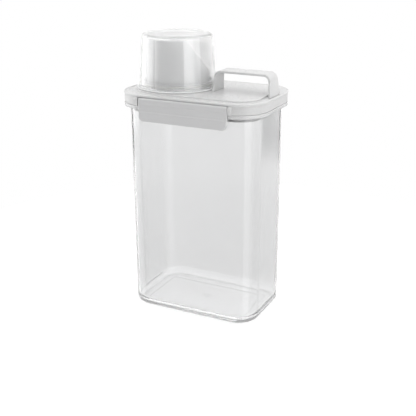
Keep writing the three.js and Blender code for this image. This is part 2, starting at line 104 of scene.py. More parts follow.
class ContainerSettings(bpy.types.PropertyGroup):
    width: length("Width", "Outside width of the box at the rim", 137.8)
    depth: length("Depth", "Outside depth of the box at the rim", 89.2)
    height: length("Height", "Table to the top of the rim flange", 212.2)
    wall: length("Wall", "Thickness of the upright walls", 2.2)
    floor: length("Floor", "Thickness of the base", 2.8)
    corner_radius: length("Corner radius", "Radius of the upright corners", 23.2)
    foot_radius: length("Foot radius", "Rounding between the walls and the base", 9.9)
    draft: length("Draft", "How far each wall leans in down to the base", 0.5)
    overhang: length("Flange overhang", "Rim flange beyond the wall", 5.8)
    flange: length("Flange thickness", "Thickness of the rim flange", 3.5)
    recess_width: length("Base panel width", "Width of the recessed panel under the base", 108.2)
    recess_depth: length("Base panel depth", "Depth of the recessed panel under the base", 55.6)
    recess_rise: length("Base panel rise", "How far the panel is set up into the base", 0.8)
    colour: tone("Plastic", "Tint of the clear plastic", 0.955, 0.957, 0.96)


class LidSettings(bpy.types.PropertyGroup):
    width: length("Width", "Width across the lip", 150.0)
    depth: length("Depth", "Depth across the lip", 101.4)
    corner_radius: length("Corner radius", "Radius of the lip's corners", 29.3)
    rise: length("Rise", "Lip's top above the container's rim", 10.7)
    plate: length("Plate", "Thickness of the top plate", 2.4)
    wall: length("Wall", "Thickness of the skirt", 2.2)
    lip: length("Lip height", "Height of the lip's side", 1.9)
    inset: length("Skirt inset", "Skirt behind the lip", 0.6)
    rim: length("Raised rim", "Width of the raised rim round the plate", 1.7)
    rim_step: length("Rim step", "Plate below the raised rim", 0.35)
    deck_inset: length("Deck inset", "From the lip to the raised deck", 9.0)
    deck_rise: length("Deck rise", "Deck above the plate", 1.0)
    deck_corner: length("Deck corner", "Corner radius of the deck at the handle's end", 20.0)
    plug_depth: length("Plug depth", "Plug wall below the container's rim", 7.7)
    plug_wall: length("Plug wall", "Thickness of the plug wall", 1.8)
    colour: tone("Plastic", "Colour of the lid", 0.62, 0.62, 0.62)


class SealSettings(bpy.types.PropertyGroup):
    groove: length("Groove depth", "Depth of the grooves the seals sit in", 1.0)
    height: length("Gasket height", "Height of the lid's gasket", 3.4)
    cup_height: length("Cup seal height", "Height of the ring in the cup's seat", 2.4)
    beads: IntProperty(name="Beads", description="Sealing beads round the gasket", default=2, min=1, max=4)
    colour: tone("Silicone", "Colour of the seals", 0.88, 0.88, 0.87)


class SpoutSettings(bpy.types.PropertyGroup):
    radius: length("Tube radius", "Outside radius of the pouring tube", 30.8)
    wall: length("Wall", "Thickness of the tube", 1.8)
    top: length("Top", "Height of the tube's highest point", 271.7)
    neck: length("Neck radius", "Outside radius where it snaps into the lid", 32.2)
    collar: length("Collar radius", "Radius of the collar on the deck", 40.3)
    collar_thickness: length("Collar thickness", "Thickness of the collar", 0.9)
    seat: length("Seat radius", "Outside radius of the cup's seat", 34.9)
    seat_height: length("Seat height", "Seat above the collar", 6.0)
    cut_azimuth: angle("Mouth direction", "The way the oblique mouth faces", 35.0)
    cut_slope: angle("Mouth slope", "Slope of the oblique mouth below level", 53.0)
    cut_start: length("Mouth start", "Where the slope starts, from the axis", 5.0)
    colour: tone("Plastic", "Colour of the milky plastic", 0.90, 0.905, 0.91)


class CupSettings(bpy.types.PropertyGroup):
    mouth: length("Mouth radius", "Outside radius at the open end", 37.8)
    taper: length("Taper", "How much less the radius is at the closed end", 3.4)
    height: length("Height", "Height of the cup", 50.1)
    wall: length("Wall", "Thickness of the wall", 2.0)
    floor: length("Floor", "Thickness of the closed end", 2.4)
    shoulder: length("Shoulder", "Rounding at the closed end", 3.6)
    rim: length("Rim", "Rim beyond the wall", 0.9)
    rim_height: length("Rim height", "Height of the rim", 1.8)
    colour: tone("Plastic", "Tint of the clear cup", 0.985, 0.985, 0.985)


class HandleSettings(bpy.types.PropertyGroup):
    left: length("Inner foot", "Outer face of the foot next to the spout, from the middle", 11.5)
    right: length("Outer foot", "Outer face of the foot at the lid's end, from the middle", 72.1)
    top: length("Top", "Height of the strap's top", 244.0)
    thickness: length("Thickness", "Thickness of the strap", 2.3)
    top_width: length("Top width", "Width of the strap along its top", 19.0)
    foot_width: length("Foot width", "Width of the strap at its feet", 23.8)
    bend: length("Bend radius", "Outer radius of the strap's bends", 7.4)
    splay: length("Splay", "How far each foot stands out", 1.9)
    edge: length("Edge", "Rounding of the strap's edges", 0.7)
    colour: tone("Plastic", "Colour of the handle", 0.62, 0.62, 0.62)


class LatchSettings(bpy.types.PropertyGroup):
    half: length("Half width", "Half the width of a latch", 46.5)
    face: length("Face", "Front face of a latch, from the middle plane", 51.6)
    thickness: length("Thickness", "Thickness of the flap", 1.6)
    bottom: length("Bottom", "Height of the flap's lower edge", 197.9)
    corner: length("Corner", "Radius of the flap's lower corners", 5.0)
    end_edge: length("End edge", "Rounding of the flap's upright edges", 1.4)
    finger_lip: length("Finger lip", "Lower edge beyond the face", 0.4)
    band_step: length("Band step", "How far the middle band is set back", 0.4)
    upper_band: length("Upper band", "Height where the middle band starts", 214.5)
    lower_band: length("Lower band", "Height where the finger band starts", 207.3)
    pivot_y: length("Pivot depth", "Hinge axis from the middle plane", 49.4)
    pivot_z: length("Pivot height", "Height of the hinge axis", 218.3)
    barrel: length("Barrel radius", "Radius of the hinge barrel", 2.2)
    bore: length("Bore radius", "Radius of the hole for the pin", 1.2)
    pin: length("Pin radius", "Radius of the hinge pin", 0.9)
    ribs: IntProperty(name="Ribs", description="Ribs behind each flap", default=4, min=2, max=12)
    colour: tone("Plastic", "Colour of the latches", 0.60, 0.60, 0.605)


class StageSettings(bpy.types.PropertyGroup):
    camera: FloatVectorProperty(
        name="Camera", description="Place of the camera", default=(0.34218, -0.67676, 0.37414),
        size=3, subtype="TRANSLATION",
    )
    yaw: angle("Yaw", "Turn of the camera to the left", 26.7228)
    pitch: angle("Pitch", "Tilt of the camera down", 19.8286)
    roll: angle("Roll", "Roll of the camera", -0.2650)
    lens: FloatProperty(name="Lens", description="Focal length", default=68.29, unit="CAMERA")
    floor_radius: FloatProperty(
        name="Floor radius", description="Radius of the round floor", default=0.40, unit="LENGTH"
    )
    floor_glow: amount("Floor glow", "Light the floor gives off, as a light table does", 0.82)
    dark: amount("Front left", "Light from the dark front left", 0.24)
    softbox: amount("Softbox", "Light of the softbox at the front right", 2.6)
    right: amount("Right", "Light from the right", 0.85)
    flags: amount("Flags", "Light left by the low dark flags either side of the background", 0.05)
    back: amount("Back", "Light of the background", 1.05)
    left: amount("Left", "Light from the rear left", 2.6)
    overhead: amount("Overhead", "Light from above", 1.5)
    table: amount("Table", "Light of the table round the floor, as a share of the background", 0.76)


class DispenserSettings(bpy.types.PropertyGroup):
    container: PointerProperty(type=ContainerSettings, name="Container")
    lid: PointerProperty(type=LidSettings, name="Lid")
    seals: PointerProperty(type=SealSettings, name="Seals")
    spout: PointerProperty(type=SpoutSettings, name="Spout")
    cup: PointerProperty(type=CupSettings, name="Measuring cup")
    handle: PointerProperty(type=HandleSettings, name="Handle")
    latches: PointerProperty(type=LatchSettings, name="Latches")
    stage: PointerProperty(type=StageSettings, name="Stage")


# ---------------------------------------------------------------- heights and places that follow

def cup_axis():
    """Distance of the cup's and the spout's axis from the middle, along the bottle."""
    low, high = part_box("measuring_cup")
    return (low.x + high.x) / 2


def lid_levels(settings):
    """Heights of the lid's top, of the plate's underside and of the skirt's lower edge."""
    rim = settings.container.height
    top = rim + settings.lid.rise
    return top, top - settings.lid.plate, rim + GAP


def plug_shape(settings):
    container = settings.container
    slack = container.wall + 0.5 * MM
    return rounded_box(container.width - 2 * slack, container.depth - 2 * slack, container.corner_radius - slack)


# ---------------------------------------------------------------- mesh helpers

def rounded_box(width, depth, radii, x=0.0, y=0.0):
    """An upright body's plan: its middle, half sizes and the radii of its four corners, from the right rear one."""
    radii = radii if isinstance(radii, tuple) else (radii,) * 4
    return x, y, width / 2, depth / 2, radii


def point_at(x=0.0, y=0.0):
    """A plan with no size: its offset outline is a circle."""
    return rounded_box(0.0, 0.0, 0.0, x, y)


def ring(plan, offset, z, steps=CORNER_STEPS):
    """The plan's outline, moved outwards by offset, at height z. Loops beside each corner keep the straights flat."""
    x, y, half_x, half_y, radii = plan
    half_x, half_y = half_x + offset, half_y + offset
    radii = [max(radius + offset, 0.0) for radius in radii]
    sides = [2 * (half_y if i % 2 == 0 else half_x) - radii[i] - radii[i - 1] for i in range(4)]
    points = []
    for i, (sign_x, sign_y) in enumerate(((1, 1), (-1, 1), (-1, -1), (1, -1))):
        centre = Vector((x + sign_x * (half_x - radii[i]), y + sign_y * (half_y - radii[i])))
        angles = [(i + step / steps) * math.pi / 2 for step in range(steps + 1)]
        arc = [centre + radii[i] * Vector((math.cos(a), math.sin(a))) for a in angles]
        before = Vector((-math.sin(angles[0]), math.cos(angles[0])))
        after = Vector((-math.sin(angles[-1]), math.cos(angles[-1])))
        first = arc[0] - before * min(SUPPORT, 0.45 * max(sides[i], 0.0))
        last = arc[-1] + after * min(SUPPORT, 0.45 * max(sides[(i + 1) % 4], 0.0))
        points += [(p.x, p.y, z) for p in [first, *arc, last]]
    return points


def filleted(points, steps=EDGE_STEPS):
    """An open path of (across, up, radius) with its corners rounded, as (across, up)."""
    result = []
    for i, (across, up, radius) in enumerate(points):
        here = Vector((across, up))
        if i in (0, len(points) - 1) or radius <= 0.0:
            result.append(here)
            continue
        back = Vector(points[i - 1][:2]) - here
        on = Vector(points[i + 1][:2]) - here
        room = 0.49 * min(back.length, on.length)
        back_length, on_length = back.length, on.length
        back.normalize()
        on.normalize()
        half = math.acos(max(-1.0, min(1.0, back.dot(on)))) / 2
        # A corner that is all but straight, or all but folded back, stays as it is.
        if half > math.radians(89.5) or half < math.radians(0.5):
            result.append(here)
            continue
        reach = min(radius / math.tan(half), room)
        radius = reach * math.tan(half)
        centre = here + (back + on).normalized() * (radius / math.sin(half))
        spoke = here + back * reach - centre
        sweep = math.pi - 2 * half
        turn = 1.0 if spoke.x * (here - centre).y - spoke.y * (here - centre).x > 0 else -1.0
        result.append(here + back * (reach + min(SUPPORT, 0.3 * (back_length - reach))))
        for step in range(steps + 1):
            a = turn * sweep * step / steps
            result.append(centre + Vector((
                spoke.x * math.cos(a) - spoke.y * math.sin(a), spoke.x * math.sin(a) + spoke.y * math.cos(a),
            )))
        result.append(here + on * (reach + min(SUPPORT, 0.3 * (on_length - reach))))
    return [(p.x, p.y) for p in result]


def mesh_object(name, bm):
    """A finished bmesh as an object at the origin, with its faces pointing out."""
    bmesh.ops.remove_doubles(bm, verts=bm.verts, dist=MERGE_DISTANCE)
    bmesh.ops.dissolve_degenerate(bm, edges=bm.edges, dist=MERGE_DISTANCE)
    bmesh.ops.recalc_face_normals(bm, faces=bm.faces)
    mesh = bpy.data.meshes.new(name)
    bm.to_mesh(mesh)
    bm.free()
    piece = bpy.data.objects.new(name, mesh)
    bpy.context.scene.collection.objects.link(piece)
    return piece


def skinned(name, rings, closed=False, capped=False):
    """A closed skin over rings of the same count. closed joins the last ring to the first, capped fills both ends."""
    bm = bmesh.new()
    rows = [[bm.verts.new(point) for point in points] for points in rings]
    pairs = list(zip(rows, rows[1:]))
    if closed:
        pairs.append((rows[-1], rows[0]))
    for low, high in pairs:
        for i in range(len(low)):
            j = (i + 1) % len(low)
            bm.faces.new((low[i], low[j], high[j], high[i]))
    if capped:
        bm.faces.new(list(reversed(rows[0])))
        bm.faces.new(rows[-1])
    return mesh_object(name, bm)


def moulded(name, bands, closed=False, steps=CORNER_STEPS):
    """A body through bands of (plan, path), each path of (offset, height, radius)."""
    rings = [
        ring(plan, offset, z, steps) for plan, path in bands for offset, z in filleted(path)
    ]
    return skinned(name, rings, closed)


def prism(name, outline, low, high, axis="X"):
    """A closed outline carried along X, Y or Z from low to high."""
    place = {
        "X": lambda a, b, c: (c, a, b), "Y": lambda a, b, c: (a, c, b), "Z": lambda a, b, c: (a, b, c),
    }[axis]
    bm = bmesh.new()
    ends = [[bm.verts.new(place(a, b, c)) for a, b in outline] for c in (low, high)]
    for i in range(len(outline)):
        j = (i + 1) % len(outline)
        bm.faces.new((ends[0][i], ends[0][j], ends[1][j], ends[1][i]))
    bm.faces.new(list(reversed(ends[0])))
    bm.faces.new(ends[1])
    return mesh_object(name, bm)


def block(name, low, high):
    outline = [(low[0], low[1]), (high[0], low[1]), (high[0], high[1]), (low[0], high[1])]
    return prism(name, outline, low[2], high[2], "Z")


def rod(name, path, y, z, steps=32):
    """A body turned about an axis along X: its path is (radius, x)."""
    angles = [2 * math.pi * i / steps for i in range(steps)]
    rings = [[(x, y + r * math.cos(a), z + r * math.sin(a)) for a in angles] for r, x in path]
    return skinned(name, rings)


def settled(piece):
    """Turns the piece's modifiers into its mesh."""
    bpy.context.view_layer.update()
    evaluated = piece.evaluated_get(bpy.context.evaluated_depsgraph_get())
    mesh = bpy.data.meshes.new_from_object(evaluated)
    before = piece.data
    piece.modifiers.clear()
    piece.data = mesh
    bpy.data.meshes.remove(before)
    mesh.name = piece.name
    return piece


def combined(piece, tool, operation):
    """Adds tool to the piece or cuts it away, and removes it."""
    modifier = piece.modifiers.new(operation.lower(), "BOOLEAN")
    modifier.object = tool
    modifier.operation = operation
    modifier.solver = "MANIFOLD"
    settled(piece)
    bpy.data.objects.remove(tool)
    return piece


def half_turned(piece, name):
    """A copy of the piece, turned half round the upright axis."""
    mesh = piece.data.copy()
    mesh.transform(Matrix.Rotation(math.pi, 4, "Z"))
    copy = bpy.data.objects.new(name, mesh)
    bpy.context.scene.collection.objects.link(copy)
    return copy


def both_sides(piece):
    """Yields the piece and its copy on the other long side."""
    yield half_turned(piece, piece.name + "_rear")
    yield piece


def finished(piece, material, body, slot, *nodes):
    """Shades the piece, gives it its material and puts it in the frame."""
    mesh = piece.data
    mesh.materials.clear()
    mesh.materials.append(material)
    mesh.polygons.foreach_set("material_index", [0] * len(mesh.polygons))
    mesh.shade_smooth()
    mesh.set_sharp_from_angle(angle=SHARP_ANGLE)
    mesh.update()
    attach(piece, body)
    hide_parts(*nodes)
    return piece


# ---------------------------------------------------------------- node helpers

class Nodes:
    """Adds nodes to a tree. An input is a value, or another node's output."""

    def __init__(self, tree):
        self.tree = tree
        tree.nodes.clear()

    def add(self, kind, inputs=None, **settings):
        node = self.tree.nodes.new(kind)
        for name, value in settings.items():
            setattr(node, name, value)
        for key, value in (inputs or {}).items():
            if isinstance(value, bpy.types.NodeSocket):
                self.tree.links.new(value, node.inputs[key])
            else:
                node.inputs[key].default_value = value
        return node

    def math(self, operation, *values):
        return self.add("ShaderNodeMath", dict(enumerate(values)), operation=operation).outputs[0]

    def noise(self, vector, scale, detail=3.0, roughness=0.5):
        inputs = {"Vector": vector, "Scale": scale, "Detail": detail, "Roughness": roughness}
        return self.add("ShaderNodeTexNoise", inputs).outputs["Fac"]

    def spread(self, value, low, high, start=0.3, end=0.7):
        """Value from start to end, spread from low to high."""
        inputs = {"Value": value, "From Min": start, "From Max": end, "To Min": low, "To Max": high}
        return self.add("ShaderNodeMapRange", inputs).outputs["Result"]

    def product(self, first, second):
        return self.blend(1.0, first, second, "MULTIPLY")

    def blend(self, factor, first, second, kind="MIX"):
        node = self.add("ShaderNodeMix", data_type="RGBA", blend_type=kind)
        for socket, value in zip((node.inputs[0], node.inputs[6], node.inputs[7]), (factor, first, second)):
            if isinstance(value, bpy.types.NodeSocket):
                self.tree.links.new(value, socket)
            else:
                socket.default_value = value
        return node.outputs[2]


def shaded(colour, factor):
    return (*[channel * factor for channel in colour[:3]], 1.0)


def plastic(name, colour, grain, roughness, relief, **shader):
    """A moulded finish: cloudy tone, roughness that varies, and a faint relief.

    colour is (tone, darker share), grain the scales of the clouds and of the fine texture, roughness its lowest and
    highest value, and relief the strength of the fine texture and of the slow waves. A value in shader is a number, a
    colour, or a function of (nodes, place) that adds the nodes for it.
    """
    material = bpy.data.materials.new(name)
    material.use_nodes = True
    nodes = Nodes(material.node_tree)
    place = nodes.add("ShaderNodeTexCoord").outputs["Object"]
    flow = nodes.add("ShaderNodeMapping", {"Vector": place, "Scale": (1.0, 1.0, 0.35)}).outputs[0]
    clouds = nodes.noise(flow, grain[0])
    fine = nodes.noise(place, grain[1], 4.0, 0.6)
    edges = nodes.add("ShaderNodeNewGeometry").outputs["Pointiness"]
    # Sharp outer edges (high pointiness) are made a little lighter in colour and a little rougher.
    edge_lift = nodes.spread(edges, 0.0, 1.0, 0.505, 0.56)
    tint, share = colour
    base = nodes.blend(nodes.spread(clouds, 0.0, 1.0), shaded(tint, 1.0), shaded(tint, share))
    base = nodes.blend(nodes.math("MULTIPLY", edge_lift, 0.25), base, shaded(tint, 1.0))
    low, high = roughness
    matt = nodes.math("ADD", nodes.spread(fine, low, high), nodes.math("MULTIPLY", edge_lift, 0.04))
    slow = nodes.add("ShaderNodeBump", {"Strength": relief[1], "Distance": 1.2 * MM, "Height": clouds})
    bump = nodes.add("ShaderNodeBump", {
        "Strength": relief[0], "Distance": 0.05 * MM, "Height": fine, "Normal": slow.outputs[0],
    })
    inputs = {"Base Color": base, "Roughness": matt, "Normal": bump.outputs[0]}
    for key, value in shader.items():
        inputs[key] = value(nodes, place) if callable(value) else value
    principled = nodes.add("ShaderNodeBsdfPrincipled", inputs)
    nodes.add("ShaderNodeOutputMaterial", {"Surface": principled.outputs[0]})
    return material


def clear_plastic(name, colour, solid, rim=None):
    """Clear plastic, which may be matt near its rim.

    solid is the share of light that it bends, and the rest goes straight through. rim is the height at which the
    matt band starts and the height at which it is full.
    """
    def matt_rim(nodes, place):
        height = nodes.add("ShaderNodeSeparateXYZ", {0: place}).outputs[2]
        return nodes.spread(height, CLEAR, MATT, *rim)

    return plastic(
        name, (colour, 0.985), (14.0, 420.0), (0.012, 0.035), (0.03, 0.05),
        **{"IOR": 1.54, "Transmission Weight": matt_rim if rim else CLEAR, "Alpha": solid},
    )


def white_plastic(name, colour):
    return plastic(
        name, (colour, 0.975), (26.0, 900.0), (0.24, 0.34), (0.10, 0.04),
        **{"IOR": 1.49, "Subsurface Weight": 0.4, "Subsurface Radius": EVEN, "Subsurface Scale": 0.003},
    )


def milky_plastic(name, colour):
    return plastic(
        name, (colour, 0.97), (22.0, 700.0), (0.03, 0.07), (0.03, 0.05),
        **{"IOR": 1.49, "Subsurface Weight": 0.35, "Subsurface Radius": EVEN, "Subsurface Scale": 0.002},
    )


def silicone(name, colour):
    return plastic(
        name, (colour, 0.94), (60.0, 1500.0), (0.48, 0.62), (0.2, 0.1),
        **{"IOR": 1.42, "Subsurface Weight": 0.3, "Subsurface Radius": (1.0, 0.98, 0.95), "Subsurface Scale": 0.001},
    )


def drawn_steel(name):
    """Bright steel wire with fine draw lines along it."""
    material = bpy.data.materials.new(name)
    material.use_nodes = True
    nodes = Nodes(material.node_tree)
    place = nodes.add("ShaderNodeTexCoord").outputs["Object"]
    along = nodes.add("ShaderNodeMapping", {"Vector": place, "Scale": (30.0, 4000.0, 4000.0)}).outputs[0]
    lines = nodes.noise(along, 1.0, 4.0, 0.6)
    base = nodes.blend(nodes.spread(lines, 0.0, 1.0), (0.62, 0.62, 0.61, 1.0), (0.50, 0.50, 0.50, 1.0))
    bump = nodes.add("ShaderNodeBump", {"Strength": 0.15, "Distance": 0.02 * MM, "Height": lines}).outputs[0]
    principled = nodes.add("ShaderNodeBsdfPrincipled", {
        "Base Color": base, "Roughness": nodes.spread(lines, 0.18, 0.34), "Metallic": 1.0, "Normal": bump,
    })
    nodes.add("ShaderNodeOutputMaterial", {"Surface": principled.outputs[0]})
    return material


def geometry_tree(name, sockets):
    """A Geometry Nodes tree with named inputs. Returns the tree, its node adder and the input node."""
    tree = bpy.data.node_groups.new(name, "GeometryNodeTree")
    kinds = {"size": "NodeSocketFloat", "count": "NodeSocketInt", "material": "NodeSocketMaterial"}
    for label, kind in sockets.items():
        tree.interface.new_socket(label, in_out="INPUT", socket_type=kinds[kind])
    tree.interface.new_socket("Geometry", in_out="OUTPUT", socket_type="NodeSocketGeometry")
    nodes = Nodes(tree)
    return tree, nodes, nodes.add("NodeGroupInput")


def close_tree(nodes, geometry, material):
    """Ends a tree in Realize Instances and Set Material."""
    real = nodes.add("GeometryNodeRealizeInstances", {"Geometry": geometry}).outputs[0]
    painted = nodes.add("GeometryNodeSetMaterial", {"Geometry": real, "Material": material}).outputs[0]
    nodes.add("NodeGroupOutput", {"Geometry": painted})


def grown(name, tree, values):
    """Runs a Geometry Nodes tree with these input values and keeps its result as a plain mesh."""
    piece = bpy.data.objects.new(name, bpy.data.meshes.new(name))
    modifier = piece.modifiers.new(tree.name, "NODES")
    modifier.node_group = tree
    for item in tree.interface.items_tree:
        if item.item_type == "SOCKET" and item.in_out == "INPUT":
            modifier[item.identifier] = values[item.name]
    bpy.context.scene.collection.objects.link(piece)
    settled(piece)
    bm = bmesh.new()
    bm.from_mesh(piece.data)
    bmesh.ops.remove_doubles(bm, verts=bm.verts, dist=MERGE_DISTANCE)
    bmesh.ops.recalc_face_normals(bm, faces=bm.faces)
    bm.to_mesh(piece.data)
    bm.free()
    return piece


def rounded_path(nodes, curve, radius, count):
    """Rounds a curve's corners with count points each."""
    inputs = {"Curve": curve, "Radius": radius, "Count": count}
    return nodes.add("GeometryNodeFilletCurve", inputs, mode="POLY").outputs[0]


# ---------------------------------------------------------------- container

def container_shell(settings):
    """The clear box: foot, walls with draft, rim flange, and a recessed panel with a moulding gate under the base."""
    size = settings.container
    body = rounded_box(size.width, size.depth, size.corner_radius)
    panel = rounded_box(size.recess_width, size.recess_depth, 3.2 * MM)
    flange_under = size.height - size.flange
    rise = size.recess_rise
    nub, ring_inner, ring_outer = 1.3 * MM, 3.0 * MM, 3.9 * MM
    groove = 0.3 * MM
    shell = moulded("container_shell", [
        (point_at(), [
            (0.0, rise - 0.4 * MM, 0.0), (nub, rise - 0.4 * MM, 0.2 * MM), (nub, rise, 0.2 * MM),
            (ring_inner, rise, 0.1 * MM), (ring_inner, rise + groove, 0.1 * MM),
            (ring_outer, rise + groove, 0.1 * MM), (ring_outer, rise, 0.1 * MM), (ring_outer + 1 * MM, rise, 0.0),
        ]),
        (panel, [(-1.2 * MM, rise, 0.0), (0.0, rise, 0.25 * MM), (0.0, 0.0, 0.35 * MM), (1.2 * MM, 0.0, 0.0)]),
        (body, [
            (-size.draft - size.foot_radius - 1 * MM, 0.0, 0.0),
            (-size.draft, 0.0, size.foot_radius),
            (0.0, flange_under, 0.8 * MM),
            (size.overhang, flange_under, 0.9 * MM),
            (size.overhang, size.height, 0.9 * MM),
            (-size.wall, size.height, 0.6 * MM),
            (-size.wall - size.draft, size.floor, size.foot_radius - size.wall),
            (-size.wall - size.draft - size.foot_radius - 4 * MM, size.floor, 0.0),
        ]),
        (point_at(), [(0.0, size.floor, 0.0)]),
    ])
    half = settings.latches.half + SIDE_ROOM
    notch_depth = settings.latches.face - settings.latches.thickness - 1.1 * MM
    outer = size.depth / 2 + size.overhang
    tool = block(
        "flange_notch", (-half, -outer - 5 * MM, flange_under - 2 * MM), (half, -notch_depth, size.height + 2 * MM)
    )
    for cutter in both_sides(tool):
        combined(shell, cutter, "DIFFERENCE")
    return shell


class DISPENSER_OT_container(bpy.types.Operator):
    """Build the clear container"""
    bl_idname = "dispenser.container"
    bl_label = "Container"

    def execute(self, context):
        settings = context.scene.dispenser
        shell = container_shell(settings)
        size = settings.container
        rim = (size.height - size.flange - 2 * MM, size.height - size.flange)
        material = clear_plastic("clear_box_plastic", size.colour, BOX_SOLID, rim)
        finished(shell, material, "container", "clear_plastic", "container_body")
        return {"FINISHED"}


# ---------------------------------------------------------------- lid

def lid_body(settings):
    """The lid without its hinge pockets: bore, deck, plate with a raised rim, lip, skirt and plug with its groove."""
    size = settings.lid
    top, under, skirt_bottom = lid_levels(settings)
    lip = rounded_box(size.width, size.depth, size.corner_radius)
    axis = cup_axis()
    deck_radius = size.depth / 2 - size.deck_inset
    deck_left, deck_right = axis - deck_radius, size.width / 2 - size.deck_inset
    corner = size.deck_corner
    deck = rounded_box(
        deck_right - deck_left, 2 * deck_radius,
        (corner, deck_radius - 0.05 * MM, deck_radius - 0.05 * MM, corner), (deck_left + deck_right) / 2,
    )
    plug = plug_shape(settings)
    plug_bottom = settings.container.height - size.plug_depth
    groove_low = plug_bottom + GROOVE_RISE
    groove_high = groove_low + settings.seals.height + 2 * GAP
    groove = settings.seals.groove
    bore = settings.spout.neck + 0.4 * MM
    deck_top = top + size.deck_rise
    plate = top - size.rim_step
    small, edge = 0.25 * MM, 0.45 * MM
    return moulded("lid_shell", [
        (point_at(axis), [
            (bore, (under + deck_top) / 2, 0.0), (bore, deck_top, small), (bore + 2 * MM, deck_top, 0.0),
        ]),
        (deck, [
            (-1.5 * MM, deck_top, 0.0), (0.0, deck_top, edge), (0.0, plate, small), (1.0 * MM, plate, 0.0),
        ]),
        (lip, [
            (-size.rim - 0.8 * MM, plate, 0.0), (-size.rim, plate, small), (-size.rim + size.rim_step, top, small),
            (0.0, top, 0.7 * MM), (0.0, top - size.lip, edge),
            (-size.inset, top - size.lip - size.inset, edge), (-size.inset, skirt_bottom, edge),
            (-size.inset - size.wall, skirt_bottom, edge), (-size.inset - size.wall, under, edge),
            (-size.inset - size.wall - 1.2 * MM, under, 0.0),
        ]),
        (plug, [
            (1.2 * MM, under, 0.0), (0.0, under, edge), (0.0, groove_high, small), (-groove, groove_high, small),
            (-groove, groove_low, small), (0.0, groove_low, small), (0.0, plug_bottom, 0.6 * MM),
            (-size.plug_wall, plug_bottom, edge), (-size.plug_wall, under, edge),
            (-size.plug_wall - 1.5 * MM, under, 0.0),
        ]),
        (point_at(axis), [(bore + 1 * MM, under, 0.0), (bore, under, small), (bore, (under + deck_top) / 2, 0.0)]),
    ])


def cheek_outline(settings, back):
    """The side of a hinge cheek: square behind, round over the hinge pin."""
    latch = settings.latches
    _, under, low = lid_levels(settings)
    high = under + 0.5 * MM
    front = -(latch.pivot_y + latch.barrel)
    arc = [math.radians(90 + 15 * i) for i in range(7)]
    outline = [(back, low), (back, high), (-latch.pivot_y, high)]
    outline += [
        (-latch.pivot_y + latch.barrel * math.cos(a), latch.pivot_z + latch.barrel * math.sin(a)) for a in arc
    ]
    toe = 1.4 * MM
    outline += [
        (front + toe + toe * math.cos(a), low + toe + toe * math.sin(a))
        for a in (math.radians(180 + 15 * i) for i in range(7))
    ]
    return outline


def hinge_pockets(lid, settings):
    """Cuts the two latch pockets, with their back walls, cheeks, pin holes, and the handle's slots."""
    latch, size = settings.latches, settings.lid
    top, under, low = lid_levels(settings)
    half = latch.half + SIDE_ROOM
    cheek = 3.4 * MM
    back = -(latch.pivot_y - 3.2 * MM)
    wall = block("pocket_wall", (-half - cheek, back, low), (half + cheek, back + size.wall, under + 0.5 * MM))
    for piece in both_sides(wall):
        combined(lid, piece, "UNION")
    for side in (-1, 1):
        start, end = sorted((side * half, side * (half + cheek)))
        outline = cheek_outline(settings, back + size.wall)
        for piece in both_sides(prism("hinge_cheek", outline, start, end)):
            combined(lid, piece, "UNION")
    pocket = block("latch_pocket", (-half, -size.depth, low - 3 * MM), (half, back, top - 2.0 * MM))
    for piece in both_sides(pocket):
        combined(lid, piece, "DIFFERENCE")
    seat = half + PIN_SEAT
    hole = latch.pin + GAP
    tool = rod("pin_hole", [(0.0, -seat), (hole, -seat), (hole, seat), (0.0, seat)], -latch.pivot_y, latch.pivot_z)
    for piece in both_sides(tool):
        combined(lid, piece, "DIFFERENCE")
    for foot in tang_places(settings.handle):
        slot = block(
            "handle_slot", (foot[0] - GAP, -SLOT_HALF, under - 4 * MM), (foot[1] + GAP, SLOT_HALF, top + 4 * MM)
        )
        combined(lid, slot, "DIFFERENCE")
    return lid


def tang_places(handle):
    """Low and high x of the strap's legs where they go through the lid."""
    return (
        (handle.left, handle.left + handle.thickness), (handle.right - handle.thickness, handle.right),
    )


class DISPENSER_OT_lid(bpy.types.Operator):
    """Build the lid with its plug, deck, hinge pockets and slots"""
    bl_idname = "dispenser.lid"
    bl_label = "Lid"

    def execute(self, context):
        settings = context.scene.dispenser
        lid = hinge_pockets(lid_body(settings), settings)
        finished(lid, white_plastic("lid_plastic", settings.lid.colour), "lid_set", "white_plastic", "lid")
        return {"FINISHED"}


# ---------------------------------------------------------------- seals

